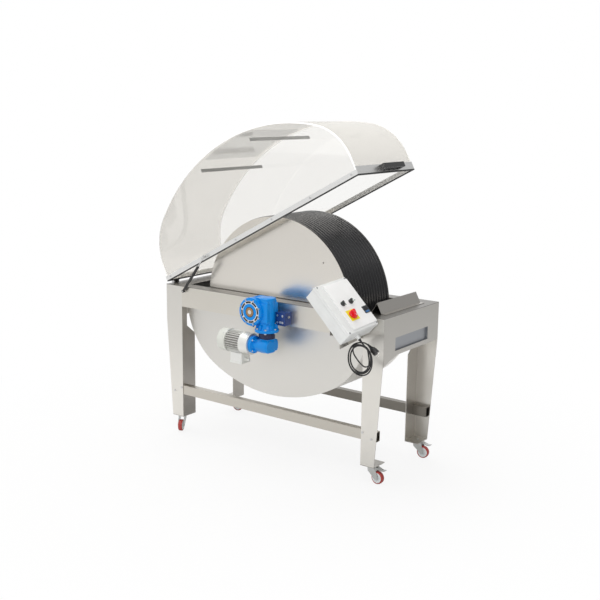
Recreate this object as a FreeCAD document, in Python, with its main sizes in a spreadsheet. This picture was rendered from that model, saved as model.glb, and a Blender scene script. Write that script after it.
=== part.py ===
"""Motor-driven drum machine on a castor frame, with a hinged clear hood.

Millimetres, +Z up.  The floor is z = 0.  X runs along the frame, from the hood hinge to the
guard, and Y runs across it, from the drive side to the plain side.  Shapes are drawn with
x = y = 0 at the frame's left front corner; origin_x and origin_y carry every piece to the
model's own origin, on the floor in the middle of the whole machine.
"""
import FreeCAD, Part
import math
import os
import re
import Sketcher

Vec = FreeCAD.Vector

SIZES = [
    ("origin_x", 789.8, "model origin from the frame's left end"),
    ("origin_y", 195.5, "model origin from the frame's front face"),
    ("frame_length", 1650, "overall length of the frame"),
    ("frame_width", 620, "overall width of the frame"),
    ("frame_top", 980, "height of the deck over the floor"),
    ("sheet", 3, "thickness of the folded frame sheet"),
    ("rail_depth", 133, "height of the front and rear rails"),
    ("rail_lip", 40, "width of the rails' lower flange"),
    ("end_depth", 230, "height of the end panels"),
    ("gusset_drop", 40, "how far the end panels' front gussets hang"),
    ("gusset_reach", 150, "how far the gussets reach along the panel"),
    ("leg_top", 134, "width of a leg's face under the deck"),
    ("leg_foot", 92, "width of a leg's face at the foot"),
    ("leg_side", 118, "width of a leg's side flange"),
    ("leg_neck", 45, "width of the side flange where the tank passes"),
    ("foot_sheet", 5, "thickness of the foot plates"),
    ("castor_height", 105, "floor to the underside of a foot plate"),
    ("bar_height", 60, "stretcher tube, height"),
    ("bar_width", 40, "stretcher tube, width"),
    ("bar_wall", 2, "stretcher tube, wall"),
    ("bar_top", 320, "top of the stretchers over the floor"),
    ("bar_end", 34, "stretcher end from the frame's end"),
    ("recess_length", 370, "recess in the right end panel, length"),
    ("recess_height", 76, "recess in the right end panel, height"),
    ("recess_drop", 128, "deck to the top of the recess"),
    ("recess_depth", 10, "depth of the recess"),
    ("deck_gap_front", 82, "frame face to the deck opening, across"),
    ("tank_inset", 56, "frame face to the tank's side plate"),
    ("tank_half", 688, "half the tank's length"),
    ("tank_shift", 7, "tank's middle from the drum axis, towards the hinge"),
    ("tank_sheet", 2, "thickness of the tank sheet"),
    ("tank_corner", 468, "radius of the tank's shoulders"),
    ("tank_bottom", 376, "lowest point of the tank over the floor"),
    ("tank_straight", 900, "height where the tank's shoulders start"),
    ("tank_hole", 30, "radius of the shaft opening in the tank sides"),
    ("drum_radius", 538, "radius of the drum's side discs"),
    ("drum_inset", 95, "frame face to the drum's side disc"),
    ("drum_z", 932, "height of the drum axis"),
    ("disc_sheet", 3, "thickness of the side discs"),
    ("shell_radius", 528, "outer radius of the drum shell"),
    ("shell_wall", 4, "wall of the drum shell"),
    ("rib_height", 8, "height of a rib over the sleeve"),
    ("rib_base", 5, "thickness of the sleeve under the ribs"),
    ("rib_count", 15, "number of ribs"),
    ("shaft_radius", 15, "radius of the drum shaft"),
    ("hub_radius", 70, "radius of the hub flanges"),
    ("hub_sheet", 10, "thickness of the hub flanges"),
    ("running_gap", 0.05, "radial clearance of a running fit"),
    ("bearing_side", 110, "side of a flange bearing"),
    ("bearing_sheet", 14, "thickness of a bearing's flange"),
    ("bearing_boss", 38, "radius of a bearing's boss"),
    ("bearing_depth", 34, "overall depth of a bearing"),
    ("bearing_pitch", 41, "bearing bolt from the shaft, along and up"),
    ("guard_height", 60, "height of the guard's ridge over the deck"),
    ("guard_ridge", 108, "guard ridge from the frame's end"),
    ("guard_foot", 78, "guard foot fold from the frame's end"),
    ("guard_flange", 30, "width of the guard's foot flange"),
    ("guard_sheet", 2.5, "thickness of the guard"),
    ("box_x", 1370, "control box corner, along"),
    ("box_y", -267, "control box corner, across"),
    ("box_z", 1165, "control box corner, height"),
    ("box_tilt", 45, "slope of the control box, degrees"),
    ("box_roll", 8, "lean of the control box towards the front, degrees"),
    ("box_length", 326, "control box, length"),
    ("box_width", 250, "control box, width"),
    ("box_depth", 100, "control box, depth"),
    ("lid_depth", 24, "depth of the control box lid"),
    ("box_wall", 4, "wall of the control box base"),
    ("panel_rise", 6, "raised field on the lid"),
    ("hood_angle", 27.7, "opening of the hood, degrees"),
    ("hinge_out", 16, "hood hinge outside the frame's end"),
    ("hinge_up", 3, "hood hinge over the deck"),
    ("hinge_row", 100, "frame face to a hinge's middle"),
    ("hood_near", 24.5, "hinge to the near end of the hood"),
    ("hood_length", 1634, "length of the hood"),
    ("hood_rise", 589, "height of the hood over its lower edge"),
    ("hood_straight", 100, "height of the hood's upright ends"),
    ("hood_corner", 337, "radius of the hood's shoulders"),
    ("hood_inset", 9, "frame face to the hood's side panel"),
    ("hood_panel", 5, "thickness of the hood's side panels"),
    ("hood_sheet", 3, "thickness of the hood's top sheet"),
    ("seal_height", 6, "height of the rubber seal"),
    ("seal_width", 12, "width of the rubber seal"),
    ("strip_sheet", 3, "thickness of the hood's edge frame"),
    ("strip_height", 28, "height of the hood's edge frame"),
    ("strut_x", 160, "gas spring foot from the frame's end"),
    ("strut_drop", 28, "gas spring foot under the deck"),
    ("stud_x", 415.5, "gas spring stud from the hinge, along the hood"),
    ("stud_z", 34, "gas spring stud from the hinge, up the hood"),
    ("strut_radius", 9, "radius of the gas spring's cylinder"),
    ("strut_rod", 4, "radius of the gas spring's rod"),
    ("strut_body", 215, "length of the gas spring's cylinder"),
    ("wheel_radius", 37.5, "radius of a castor wheel"),
    ("wheel_width", 28, "width of a castor wheel"),
    ("castor_trail", 38, "swivel axis to the wheel's axle"),
    ("castor_inset", 54, "leg's inner edge to the swivel axis"),
    ("castor_side", 50, "frame face to the swivel axis"),
    ("fork_sheet", 3, "thickness of the castor fork"),
    ("gear_depth", 120, "upper gearbox, depth"),
    ("gear_gap", 28, "frame face to the upper gearbox"),
    ("gear_radius", 84, "upper gearbox, radius round the output"),
    ("gear_offset", 75, "output axis to the worm axis, upper gearbox"),
    ("motor_offset", 40, "worm axis to the motor axis, lower gearbox"),
    ("motor_z", 734, "height of the motor axis"),
    ("motor_radius", 60, "radius of the motor body under its fins"),
    ("fin_height", 8, "height of the motor's fins"),
    ("fin_count", 30, "number of fins"),
    ("motor_length", 231, "length of the motor"),
    ("cord_radius", 4, "radius of the mains cord"),
    ("bolt_radius", 7, "radius of a bolt head"),
    ("bolt_height", 5, "height of a bolt head"),
]

doc = FreeCAD.newDocument("drum_machine")
dims = doc.addObject("Spreadsheet::Sheet", "dims")
for row, (alias, value, note) in enumerate(SIZES, start=1):
    dims.set("A%d" % row, alias)
    dims.set("B%d" % row, str(value))
    dims.set("C%d" % row, note)
    dims.setAlias("B%d" % row, alias)
doc.recompute()

NAMES = {alias for alias, value, note in SIZES}
NODES = []

# shared places, written once
DRUM_X = "(frame_length / 2)"
TANK_X = "(frame_length / 2 - tank_shift)"
FACE_REAR = "(frame_width - drum_inset)"
DECK_Z = "(frame_top - sheet)"
RAIL_Z = "(frame_top - rail_depth)"
LEG_Z = "(castor_height + foot_sheet)"
BAR_Z = "(bar_top - bar_height)"
HINGE_Z = "(frame_top + hinge_up)"
WORM_X = "(frame_length / 2 + gear_offset)"
WORM_Y = "(-gear_gap - gear_depth / 2)"
MOTOR_Y = "(-gear_gap - gear_depth / 2 - motor_offset)"
SLEEVE_R = "(shell_radius + rib_base)"
HINGE_ROWS = ("hinge_row", "(frame_width - hinge_row)")


def ex(text):
    """An expression with each size's name pointed at the sheet."""
    return re.sub(r"[a-z_]+", lambda m: "dims." + m.group(0) if m.group(0) in NAMES else m.group(0),
                  str(text))


def num(text):
    """The present value of an expression."""
    value = dims.evalExpression(ex(text))
    return float(getattr(value, "Value", value))


def place(obj, base=("0", "0", "0"), turn=None):
    """Put an object's own origin at base; turn is a FreeCAD rotation."""
    if turn is not None:
        obj.Placement = FreeCAD.Placement(Vec(), turn)
    for axis, text in zip("xyz", base):
        obj.setExpression("Placement.Base." + axis, ex(text))
    return obj


def node(label, obj, base=("0", "0", "0"), turn=None):
    """Name a finished piece, carry it to the model's origin and list it for export."""
    obj.Label = label
    place(obj, ("(%s) - origin_x" % base[0], "(%s) - origin_y" % base[1], base[2]), turn)
    NODES.append(obj)
    return obj


def block(name, at, size):
    obj = doc.addObject("Part::Box", name)
    for prop, text in zip(("Length", "Width", "Height"), size):
        obj.setExpression(prop, ex(text))
    return place(obj, at)


TURNS = {"x": FreeCAD.Rotation(Vec(0, 1, 0), 90), "y": FreeCAD.Rotation(Vec(1, 0, 0), -90),
         "z": FreeCAD.Rotation()}


def round_bar(name, at, radius, length, axis):
    """A cylinder that starts at a point and runs along +x, +y or +z."""
    obj = doc.addObject("Part::Cylinder", name)
    obj.setExpression("Radius", ex(radius))
    obj.setExpression("Height", ex(length))
    return place(obj, at, TURNS[axis])


def fuse(name, shapes):
    obj = doc.addObject("Part::MultiFuse", name)
    obj.Shapes = shapes
    return obj


def group(name, shapes):
    """Several loose solids kept in one piece's file."""
    obj = doc.addObject("Part::Compound", name)
    obj.Links = shapes
    return obj


def cut(name, base, tool):
    obj = doc.addObject("Part::Cut", name)
    obj.Base = base
    obj.Tool = tool
    return obj


def mirror(name, source, axis, middle):
    obj = doc.addObject("Part::Mirroring", name)
    obj.Source = source
    obj.Normal = Vec(1, 0, 0) if axis == "x" else Vec(0, 1, 0)
    obj.setExpression("Base." + axis, ex(middle))
    return obj


def new_body(name):
    obj = doc.addObject("PartDesign::Body", name)
    doc.recompute()
    return obj


def plane_of(body, role):
    return [f for f in body.Origin.OriginFeatures if f.Role == role][0]


def outline(body, role, points, lift="0"):
    """A closed polygon sketch on one of the body's origin planes, every corner bound."""
    sketch = body.newObject("Sketcher::SketchObject", body.Name + "_outline")
    sketch.AttachmentSupport = [(plane_of(body, role), "")]
    sketch.MapMode = "FlatFace"
    sketch.setExpression("AttachmentOffset.Base.z", ex(lift))
    spots = [(num(a), num(b)) for a, b in points]
    last = len(spots)
    for i in range(last):
        a, b = spots[i], spots[(i + 1) % last]
        sketch.addGeometry(Part.LineSegment(Vec(a[0], a[1], 0), Vec(b[0], b[1], 0)), False)
    for i in range(last):
        sketch.addConstraint(Sketcher.Constraint("Coincident", i, 2, (i + 1) % last, 1))
    for i, (a, b) in enumerate(points):
        for kind, text, value in (("DistanceX", a, spots[i][0]), ("DistanceY", b, spots[i][1])):
            index = sketch.addConstraint(Sketcher.Constraint(kind, -1, 1, i, 1, value))
            sketch.setExpression("Constraints[%d]" % index, ex(text))
    return sketch


def ring(body, role, centre, radius, lift="0"):
    """A circle sketch on one of the body's origin planes."""
    sketch = body.newObject("Sketcher::SketchObject", body.Name + "_ring")
    sketch.AttachmentSupport = [(plane_of(body, role), "")]
    sketch.MapMode = "FlatFace"
    sketch.setExpression("AttachmentOffset.Base.z", ex(lift))
    x, y, r = num(centre[0]), num(centre[1]), num(radius)
    sketch.addGeometry(Part.Circle(Vec(x, y, 0), Vec(0, 0, 1), r), False)
    for kind, text, value in (("DistanceX", centre[0], x), ("DistanceY", centre[1], y)):
        index = sketch.addConstraint(Sketcher.Constraint(kind, -1, 1, 0, 3, value))
        sketch.setExpression("Constraints[%d]" % index, ex(text))
    index = sketch.addConstraint(Sketcher.Constraint("Radius", 0, r))
    sketch.setExpression("Constraints[%d]" % index, ex(radius))
    return sketch


def pad(body, sketch, length, back=False):
    """Raise a sketch along its plane's normal, or against it."""
    feature = body.newObject("PartDesign::Pad", body.Name + "_pad")
    feature.Profile = sketch
    feature.setExpression("Length", ex(length))
    feature.Reversed = back
    doc.recompute()
    return feature


def pocket(body, sketch):
    """Cut a sketch through everything, both ways."""
    before = body.Shape.Volume
    feature = body.newObject("PartDesign::Pocket", body.Name + "_pocket")
    feature.Profile = sketch
    feature.Type = 1
    feature.Midplane = True
    doc.recompute()
    if not body.Shape.Volume < before:
        raise RuntimeError(body.Name + ": the pocket cuts nothing")
    return feature


def spin(body, sketch, role_axis):
    """Turn a sketch once round one of the body's origin axes."""
    feature = body.newObject("PartDesign::Revolution", body.Name + "_turned")
    feature.Profile = sketch
    feature.ReferenceAxis = (plane_of(body, role_axis), [""])
    feature.Angle = 360
    doc.recompute()
    return feature


def prism(name, role, points, start, length):
    """A body of one padded polygon.  XZ outlines run towards +y, YZ outlines towards +x."""
    body = new_body(name)
    if role == "XZ_Plane":
        pad(body, outline(body, role, points, "-(%s)" % start), length, back=True)
    else:
        pad(body, outline(body, role, points, start), length)
    return body


# ------------------------------------------------------------------ frame
def rails():
    """Two angle-section rails that carry the drive and the bearings."""
    for label, side in (("front_rail", 0), ("rear_rail", 1)):
        body = new_body(label)
        flip = (lambda y: "frame_width - (%s)" % y) if side else (lambda y: y)
        pts = [(flip("0"), DECK_Z), (flip("sheet"), DECK_Z),
               (flip("sheet"), RAIL_Z + " + sheet"), (flip("rail_lip"), RAIL_Z + " + sheet"),
               (flip("rail_lip"), RAIL_Z), (flip("0"), RAIL_Z)]
        pad(body, outline(body, "YZ_Plane", pts, "leg_top"), "frame_length - 2 * leg_top")
        hole = ring(body, "XZ_Plane", (DRUM_X, "drum_z"), "shaft_radius + 6")
        pocket(body, hole)
        node(label, body)


def legs():
    """Four tapered angle legs; the side flange narrows beside the tank and lets the stretcher through."""
    foot_x = "(leg_top - leg_foot)"
    face = prism("leg_face", "XZ_Plane",
                 [("0", DECK_Z), ("leg_top", DECK_Z), ("leg_top", LEG_Z), (foot_x, LEG_Z),
                  ("0", "frame_top - end_depth")], "0", "sheet")
    neck_z = "(%s - rail_depth)" % RAIL_Z
    side = prism("leg_side_flange", "YZ_Plane",
                 [("sheet", DECK_Z), ("leg_neck", DECK_Z), ("leg_neck", neck_z),
                  ("leg_side", neck_z + " - 60"), ("leg_side", LEG_Z), ("sheet", LEG_Z)],
                 "leg_top - sheet", "sheet")
    slot = block("leg_slot", ("leg_top - 2 * sheet", "sheet", BAR_Z),
                 ("3 * sheet", "bar_width", "bar_height"))
    leg = cut("leg_front_left", fuse("leg_angle", [face, side]), slot)
    right = mirror("leg_front_right", leg, "x", DRUM_X)
    front = group("legs_front", [leg, right])
    rear = group("legs_rear", [mirror("leg_rear_left", leg, "y", "frame_width / 2"),
                               mirror("leg_rear_right", right, "y", "frame_width / 2")])
    node("legs_front", front)
    node("legs_rear", rear)


def corner_places():
    """The four swivel axes: name, x, y and the signs towards the frame's outside."""
    near_x, far_x = "(leg_top - castor_inset)", "(frame_length - leg_top + castor_inset)"
    near_y, far_y = "castor_side", "(frame_width - castor_side)"
    return [("front_left", near_x, near_y), ("front_right", far_x, near_y),
            ("rear_left", near_x, far_y), ("rear_right", far_x, far_y)]


def foot_plates():
    """Square plates under the legs, holed for the castor stems."""
    plates = []
    for name, x, y in corner_places():
        low_y = "sheet" if "front" in name else "frame_width - leg_side"
        low_x = "leg_top - leg_foot" if "left" in name else "frame_length - leg_top"
        slab = block("plate_" + name, (low_x, "0" if "front" in name else low_y, "castor_height"),
                     ("leg_foot", "leg_side", "foot_sheet"))
        stem = round_bar("plate_hole_" + name, (x, y, "castor_height - 1"),
                         "6 + running_gap", "foot_sheet + 2", "z")
        plates.append(cut("foot_" + name, slab, stem))
    node("foot_plates", group("foot_plates", plates))


def end_panels():
    """Folded end panels with a rounded gusset at the front; the right one has a recess."""
    low = "(frame_top - end_depth)"
    drop = "(frame_top - end_depth - gusset_drop)"
    arc = [("0", "0"), ("0.12", "0.05"), ("0.4", "0.45"), ("1", "1")]
    left_edge = [("sheet + gusset_reach * %s" % a, "%s + gusset_drop * %s" % (drop, b)) for a, b in arc]
    pts = [("sheet", DECK_Z)] + left_edge + [("frame_width - sheet", low), ("frame_width - sheet", DECK_Z)]
    node("end_panel_left", prism("end_panel_left", "YZ_Plane", pts, "0", "sheet"))
    body = prism("end_panel_right", "YZ_Plane", pts, "frame_length - sheet", "sheet")
    y0 = "(frame_width - recess_length) / 2"
    z1 = "(frame_top - recess_drop)"
    z0 = "(frame_top - recess_drop - recess_height)"
    y1 = "(frame_width + recess_length) / 2"
    pocket(body, outline(body, "YZ_Plane", [(y0, z0), (y1, z0), (y1, z1), (y0, z1)],
                         "frame_length - sheet / 2"))
    node("end_panel_right", body)
    rim = "recess_depth"
    tray = block("tray_block", ("frame_length - sheet - recess_depth - 2", y0 + " - " + rim, z0 + " - " + rim),
                 ("recess_depth + 2", "recess_length + 2 * recess_depth", "recess_height + 2 * recess_depth"))
    hollow = block("tray_hollow", ("frame_length - sheet - recess_depth", y0, z0),
                   ("recess_depth + 5", "recess_length", "recess_height"))
    node("recess_tray", cut("recess_tray", tray, hollow))


def deck():
    """The deck sheet that ties the frame and frames the tank's mouth."""
    body = new_body("top_deck")
    pad(body, outline(body, "XY_Plane", [("0", "0"), ("frame_length", "0"), ("frame_length", "frame_width"),
                                         ("0", "frame_width")], DECK_Z), "sheet")
    x0 = "(%s - tank_half + 6)" % TANK_X
    x1 = "(%s + tank_half - 6)" % TANK_X
    y0, y1 = "deck_gap_front", "frame_width - deck_gap_front"
    pocket(body, outline(body, "XY_Plane", [(x0, y0), (x1, y0), (x1, y1), (x0, y1)], "frame_top - sheet / 2"))
    node("top_deck", body)


def stretchers():
    """Open square tubes through the legs, front and rear."""
    bars = []
    for name, y in (("front", "sheet"), ("rear", "frame_width - sheet - bar_width")):
        outer = block("bar_" + name, ("bar_end", y, BAR_Z), ("frame_length - 2 * bar_end", "bar_width", "bar_height"))
        inner = block("bar_hole_" + name, ("bar_end - 1", y + " + bar_wall", BAR_Z + " + bar_wall"),
                      ("frame_length - 2 * bar_end + 2", "bar_width - 2 * bar_wall", "bar_height - 2 * bar_wall"))
        bars.append(cut("stretcher_" + name, outer, inner))
    node("stretchers", group("stretchers", bars))


def frame_bolts():
    """Bolt heads of the stretchers and the bearings, and the gas spring's shoulder bolt."""
    pin = round_bar("foot_pin", ("strut_x", "-21", "frame_top - strut_drop"), "4", "21", "y")
    seat = round_bar("foot_seat", ("strut_x", "-5", "frame_top - strut_drop"), "11", "5", "y")
    heads = [fuse("strut_bolt", [pin, seat])]
    for x, z in (("leg_top - 10", "bar_top - 15"), ("leg_top - 70", "bar_top - 45")):
        for side, at in (("left", x), ("right", "frame_length - (%s)" % x)):
            for face, y in (("front", "-bolt_height"), ("rear", "frame_width")):
                heads.append(round_bar("bar_bolt", (at, y, z), "bolt_radius", "bolt_height", "y"))
    for sx in (-1, 1):
        for sz in (-1, 1):
            heads.append(round_bar("bearing_bolt", ("%s + (%d) * bearing_pitch" % (DRUM_X, sx),
                                                    "frame_width + bearing_sheet",
                                                    "drum_z + (%d) * bearing_pitch" % sz),
                                   "bolt_radius", "bolt_height", "y"))
    node("frame_bolts", group("frame_bolts", heads))


def arch_wire(half, straight, corner, rise, inset, z0, up=1, middle=0):
    """A closed arch: upright ends, round shoulders and a flat crown; inset draws it smaller.

    The crown's radius follows from the other sizes, so that the three arcs are tangent."""
    span = half - corner
    tall = rise - straight
    crown = (tall * tall + span * span - corner * corner) / (2 * (tall - corner))
    r_corner, r_crown = corner - inset, crown - inset
    cx, cz = span, straight
    centre = rise - crown
    length = math.hypot(cx, cz - centre)
    ux, uz = cx / length, (cz - centre) / length
    mid = math.atan2(uz, ux) / 2

    def point(x, z):
        return Vec(middle + x, 0, up * z)

    edge = half - inset
    join = (cx + r_corner * ux, cz + r_corner * uz)
    bend = (cx + r_corner * math.cos(mid), cz + r_corner * math.sin(mid))
    top = (0, centre + r_crown)
    corners = [point(-edge, z0), point(-edge, straight), point(-join[0], join[1]),
               point(join[0], join[1]), point(edge, straight), point(edge, z0)]
    return Part.Wire([
        Part.LineSegment(corners[0], corners[1]).toShape(),
        Part.Arc(corners[1], point(-bend[0], bend[1]), corners[2]).toShape(),
        Part.Arc(corners[2], point(*top), corners[3]).toShape(),
        Part.Arc(corners[3], point(bend[0], bend[1]), corners[4]).toShape(),
        Part.LineSegment(corners[4], corners[5]).toShape(),
        Part.LineSegment(corners[5], corners[0]).toShape()])


def arch_slab(wire, start, depth):
    slab = Part.Face(wire).extrude(Vec(0, depth, 0))
    slab.translate(Vec(0, start, 0))
    return slab


def feature(name, shape):
    obj = doc.addObject("Part::Feature", name)
    obj.Shape = shape
    return obj


def tank():
    """The tank under the rails: two flat sides and a rolled shell between them."""
    half, corner = num("tank_half"), num("tank_corner")
    rise, straight = num(DECK_Z + " - tank_bottom"), num(DECK_Z + " - tank_straight")
    t = num("tank_sheet")
    inset, width = num("tank_inset"), num("frame_width")
    outer = arch_wire(half, straight, corner, rise, 0, 0, up=-1)
    inner = arch_wire(half, straight, corner, rise, t, -5, up=-1)
    axis_z = num("drum_z - " + DECK_Z)
    hole = Part.makeCylinder(num("tank_hole"), width, Vec(num("tank_shift"), 0, axis_z), Vec(0, 1, 0))
    front = arch_slab(outer, inset, t).cut(hole)
    rear = arch_slab(outer, width - inset - t, t).cut(hole)
    node("tank_sides", feature("tank_sides", Part.makeCompound([front, rear])), (TANK_X, "0", DECK_Z))
    shell = arch_slab(outer, inset + t, width - 2 * (inset + t))
    shell = shell.cut(arch_slab(inner, inset, width - 2 * inset))
    node("tank_shell", feature("tank_shell", shell), (TANK_X, "0", DECK_Z))


def guard():
    """The folded guard that stands on the deck along the right edge of the tank's mouth."""
    foot = "(frame_length - guard_foot)"
    ridge = "(frame_length - guard_ridge)"
    edge = "(%s + tank_half - 4)" % TANK_X
    top = "(frame_top + guard_height)"
    t = "guard_sheet"
    pts = [(foot + " + guard_flange", "frame_top + " + t), (foot + " + 1.5", "frame_top + " + t),
           (ridge, top + " + " + t), (edge, "frame_top"), (edge + " + 1.2 * " + t, "frame_top"),
           (ridge, top + " - " + t), (foot, "frame_top"), (foot + " + guard_flange", "frame_top")]
    node("drum_guard", prism("drum_guard", "XZ_Plane", pts, "drum_inset - 3",
                             "frame_width - 2 * drum_inset + 6"))


# ------------------------------------------------------------------ drum
def drum():
    """The turning drum: shaft with hub flanges, shell, side discs and the ribbed black sleeve.

    Each piece is turned round its body's Y axis, which is put on the drum axis."""
    at = (DRUM_X, "0", "drum_z")
    inner0, inner1 = "(drum_inset + disc_sheet)", "(%s - disc_sheet)" % FACE_REAR
    for label, y0 in (("drum_disc_front", "drum_inset"), ("drum_disc_rear", inner1)):
        body = new_body(label)
        pad(body, ring(body, "XZ_Plane", ("0", "0"), "drum_radius", "-(%s)" % y0), "disc_sheet", back=True)
        pocket(body, ring(body, "XZ_Plane", ("0", "0"), "shaft_radius", "-(%s + disc_sheet / 2)" % y0))
        if "front" in label:
            pocket(body, ring(body, "XZ_Plane", ("344", "297"), "4", "-(%s + disc_sheet / 2)" % y0))
        node(label, body, at)
    shell = new_body("drum_shell")
    pts = [("shell_radius - shell_wall", inner0), ("shell_radius", inner0), ("shell_radius", inner1),
           ("shell_radius - shell_wall", inner1)]
    spin(shell, outline(shell, "XY_Plane", pts), "Y_Axis")
    node("drum_shell", shell, at)
    sleeve = new_body("ribbed_sleeve")
    pts = [("shell_radius", inner0), (SLEEVE_R, inner0), (SLEEVE_R, inner1), ("shell_radius", inner1)]
    spin(sleeve, outline(sleeve, "XY_Plane", pts), "Y_Axis")
    step = "((%s - %s) / rib_count)" % (inner1, inner0)
    half = "(%s * 0.5)" % step
    rib = [(SLEEVE_R + " - 1", inner0 + " + %s * 0.08" % step),
           (SLEEVE_R, inner0 + " + %s * 0.08" % step),
           (SLEEVE_R + " + rib_height * 0.72", inner0 + " + %s * 0.2" % step),
           (SLEEVE_R + " + rib_height", inner0 + " + %s * 0.38" % step),
           (SLEEVE_R + " + rib_height", inner0 + " + %s * 0.62" % step),
           (SLEEVE_R + " + rib_height * 0.72", inner0 + " + %s * 0.8" % step),
           (SLEEVE_R, inner0 + " + %s * 0.92" % step),
           (SLEEVE_R + " - 1", inner0 + " + %s * 0.92" % step)]
    one = spin(sleeve, outline(sleeve, "XY_Plane", rib), "Y_Axis")
    row = sleeve.newObject("PartDesign::LinearPattern", "ribs")
    row.Originals = [one]
    row.Direction = (plane_of(sleeve, "Y_Axis"), [""])
    row.setExpression("Length", ex("%s * (rib_count - 1)" % step))
    row.setExpression("Occurrences", ex("rib_count"))
    sleeve.Tip = row
    doc.recompute()
    node("ribbed_sleeve", sleeve, at)
    shaft = new_body("drum_shaft")
    tail = "(frame_width + bearing_depth + 6)"
    pts = [("0", "-gear_gap - gear_depth - 2"), ("shaft_radius", "-gear_gap - gear_depth - 2"),
           ("shaft_radius", inner0), ("hub_radius", inner0), ("hub_radius", inner0 + " + hub_sheet"),
           ("shaft_radius + 5", inner0 + " + hub_sheet"), ("shaft_radius + 5", inner1 + " - hub_sheet"),
           ("hub_radius", inner1 + " - hub_sheet"), ("hub_radius", inner1), ("shaft_radius", inner1),
           ("shaft_radius", tail), ("0", tail)]
    spin(shaft, outline(shaft, "XY_Plane", pts), "Y_Axis")
    node("drum_shaft", shaft, at)


def bearings():
    """Square flange bearings: the front one inside its rail, the rear one outside."""
    units = []
    for name, y, sign in (("front", "sheet", 1), ("rear", "frame_width", 1)):
        flange = block("bearing_flange_" + name,
                       (DRUM_X + " - bearing_side / 2", y, "drum_z - bearing_side / 2"),
                       ("bearing_side", "bearing_sheet", "bearing_side"))
        if name == "front":
            flange.setExpression("Placement.Base.z", ex(RAIL_Z + " + sheet"))
            flange.setExpression("Height", ex("bearing_side"))
        boss = round_bar("bearing_boss_" + name, (DRUM_X, y, "drum_z"), "bearing_boss", "bearing_depth", "y")
        bore = round_bar("bearing_bore_" + name, (DRUM_X, y + " - 1", "drum_z"),
                         "shaft_radius + running_gap", "bearing_depth + 2", "y")
        units.append(cut("bearing_" + name, fuse("bearing_" + name + "_body", [flange, boss]), bore))
    node("shaft_bearings", group("shaft_bearings", units))


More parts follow.
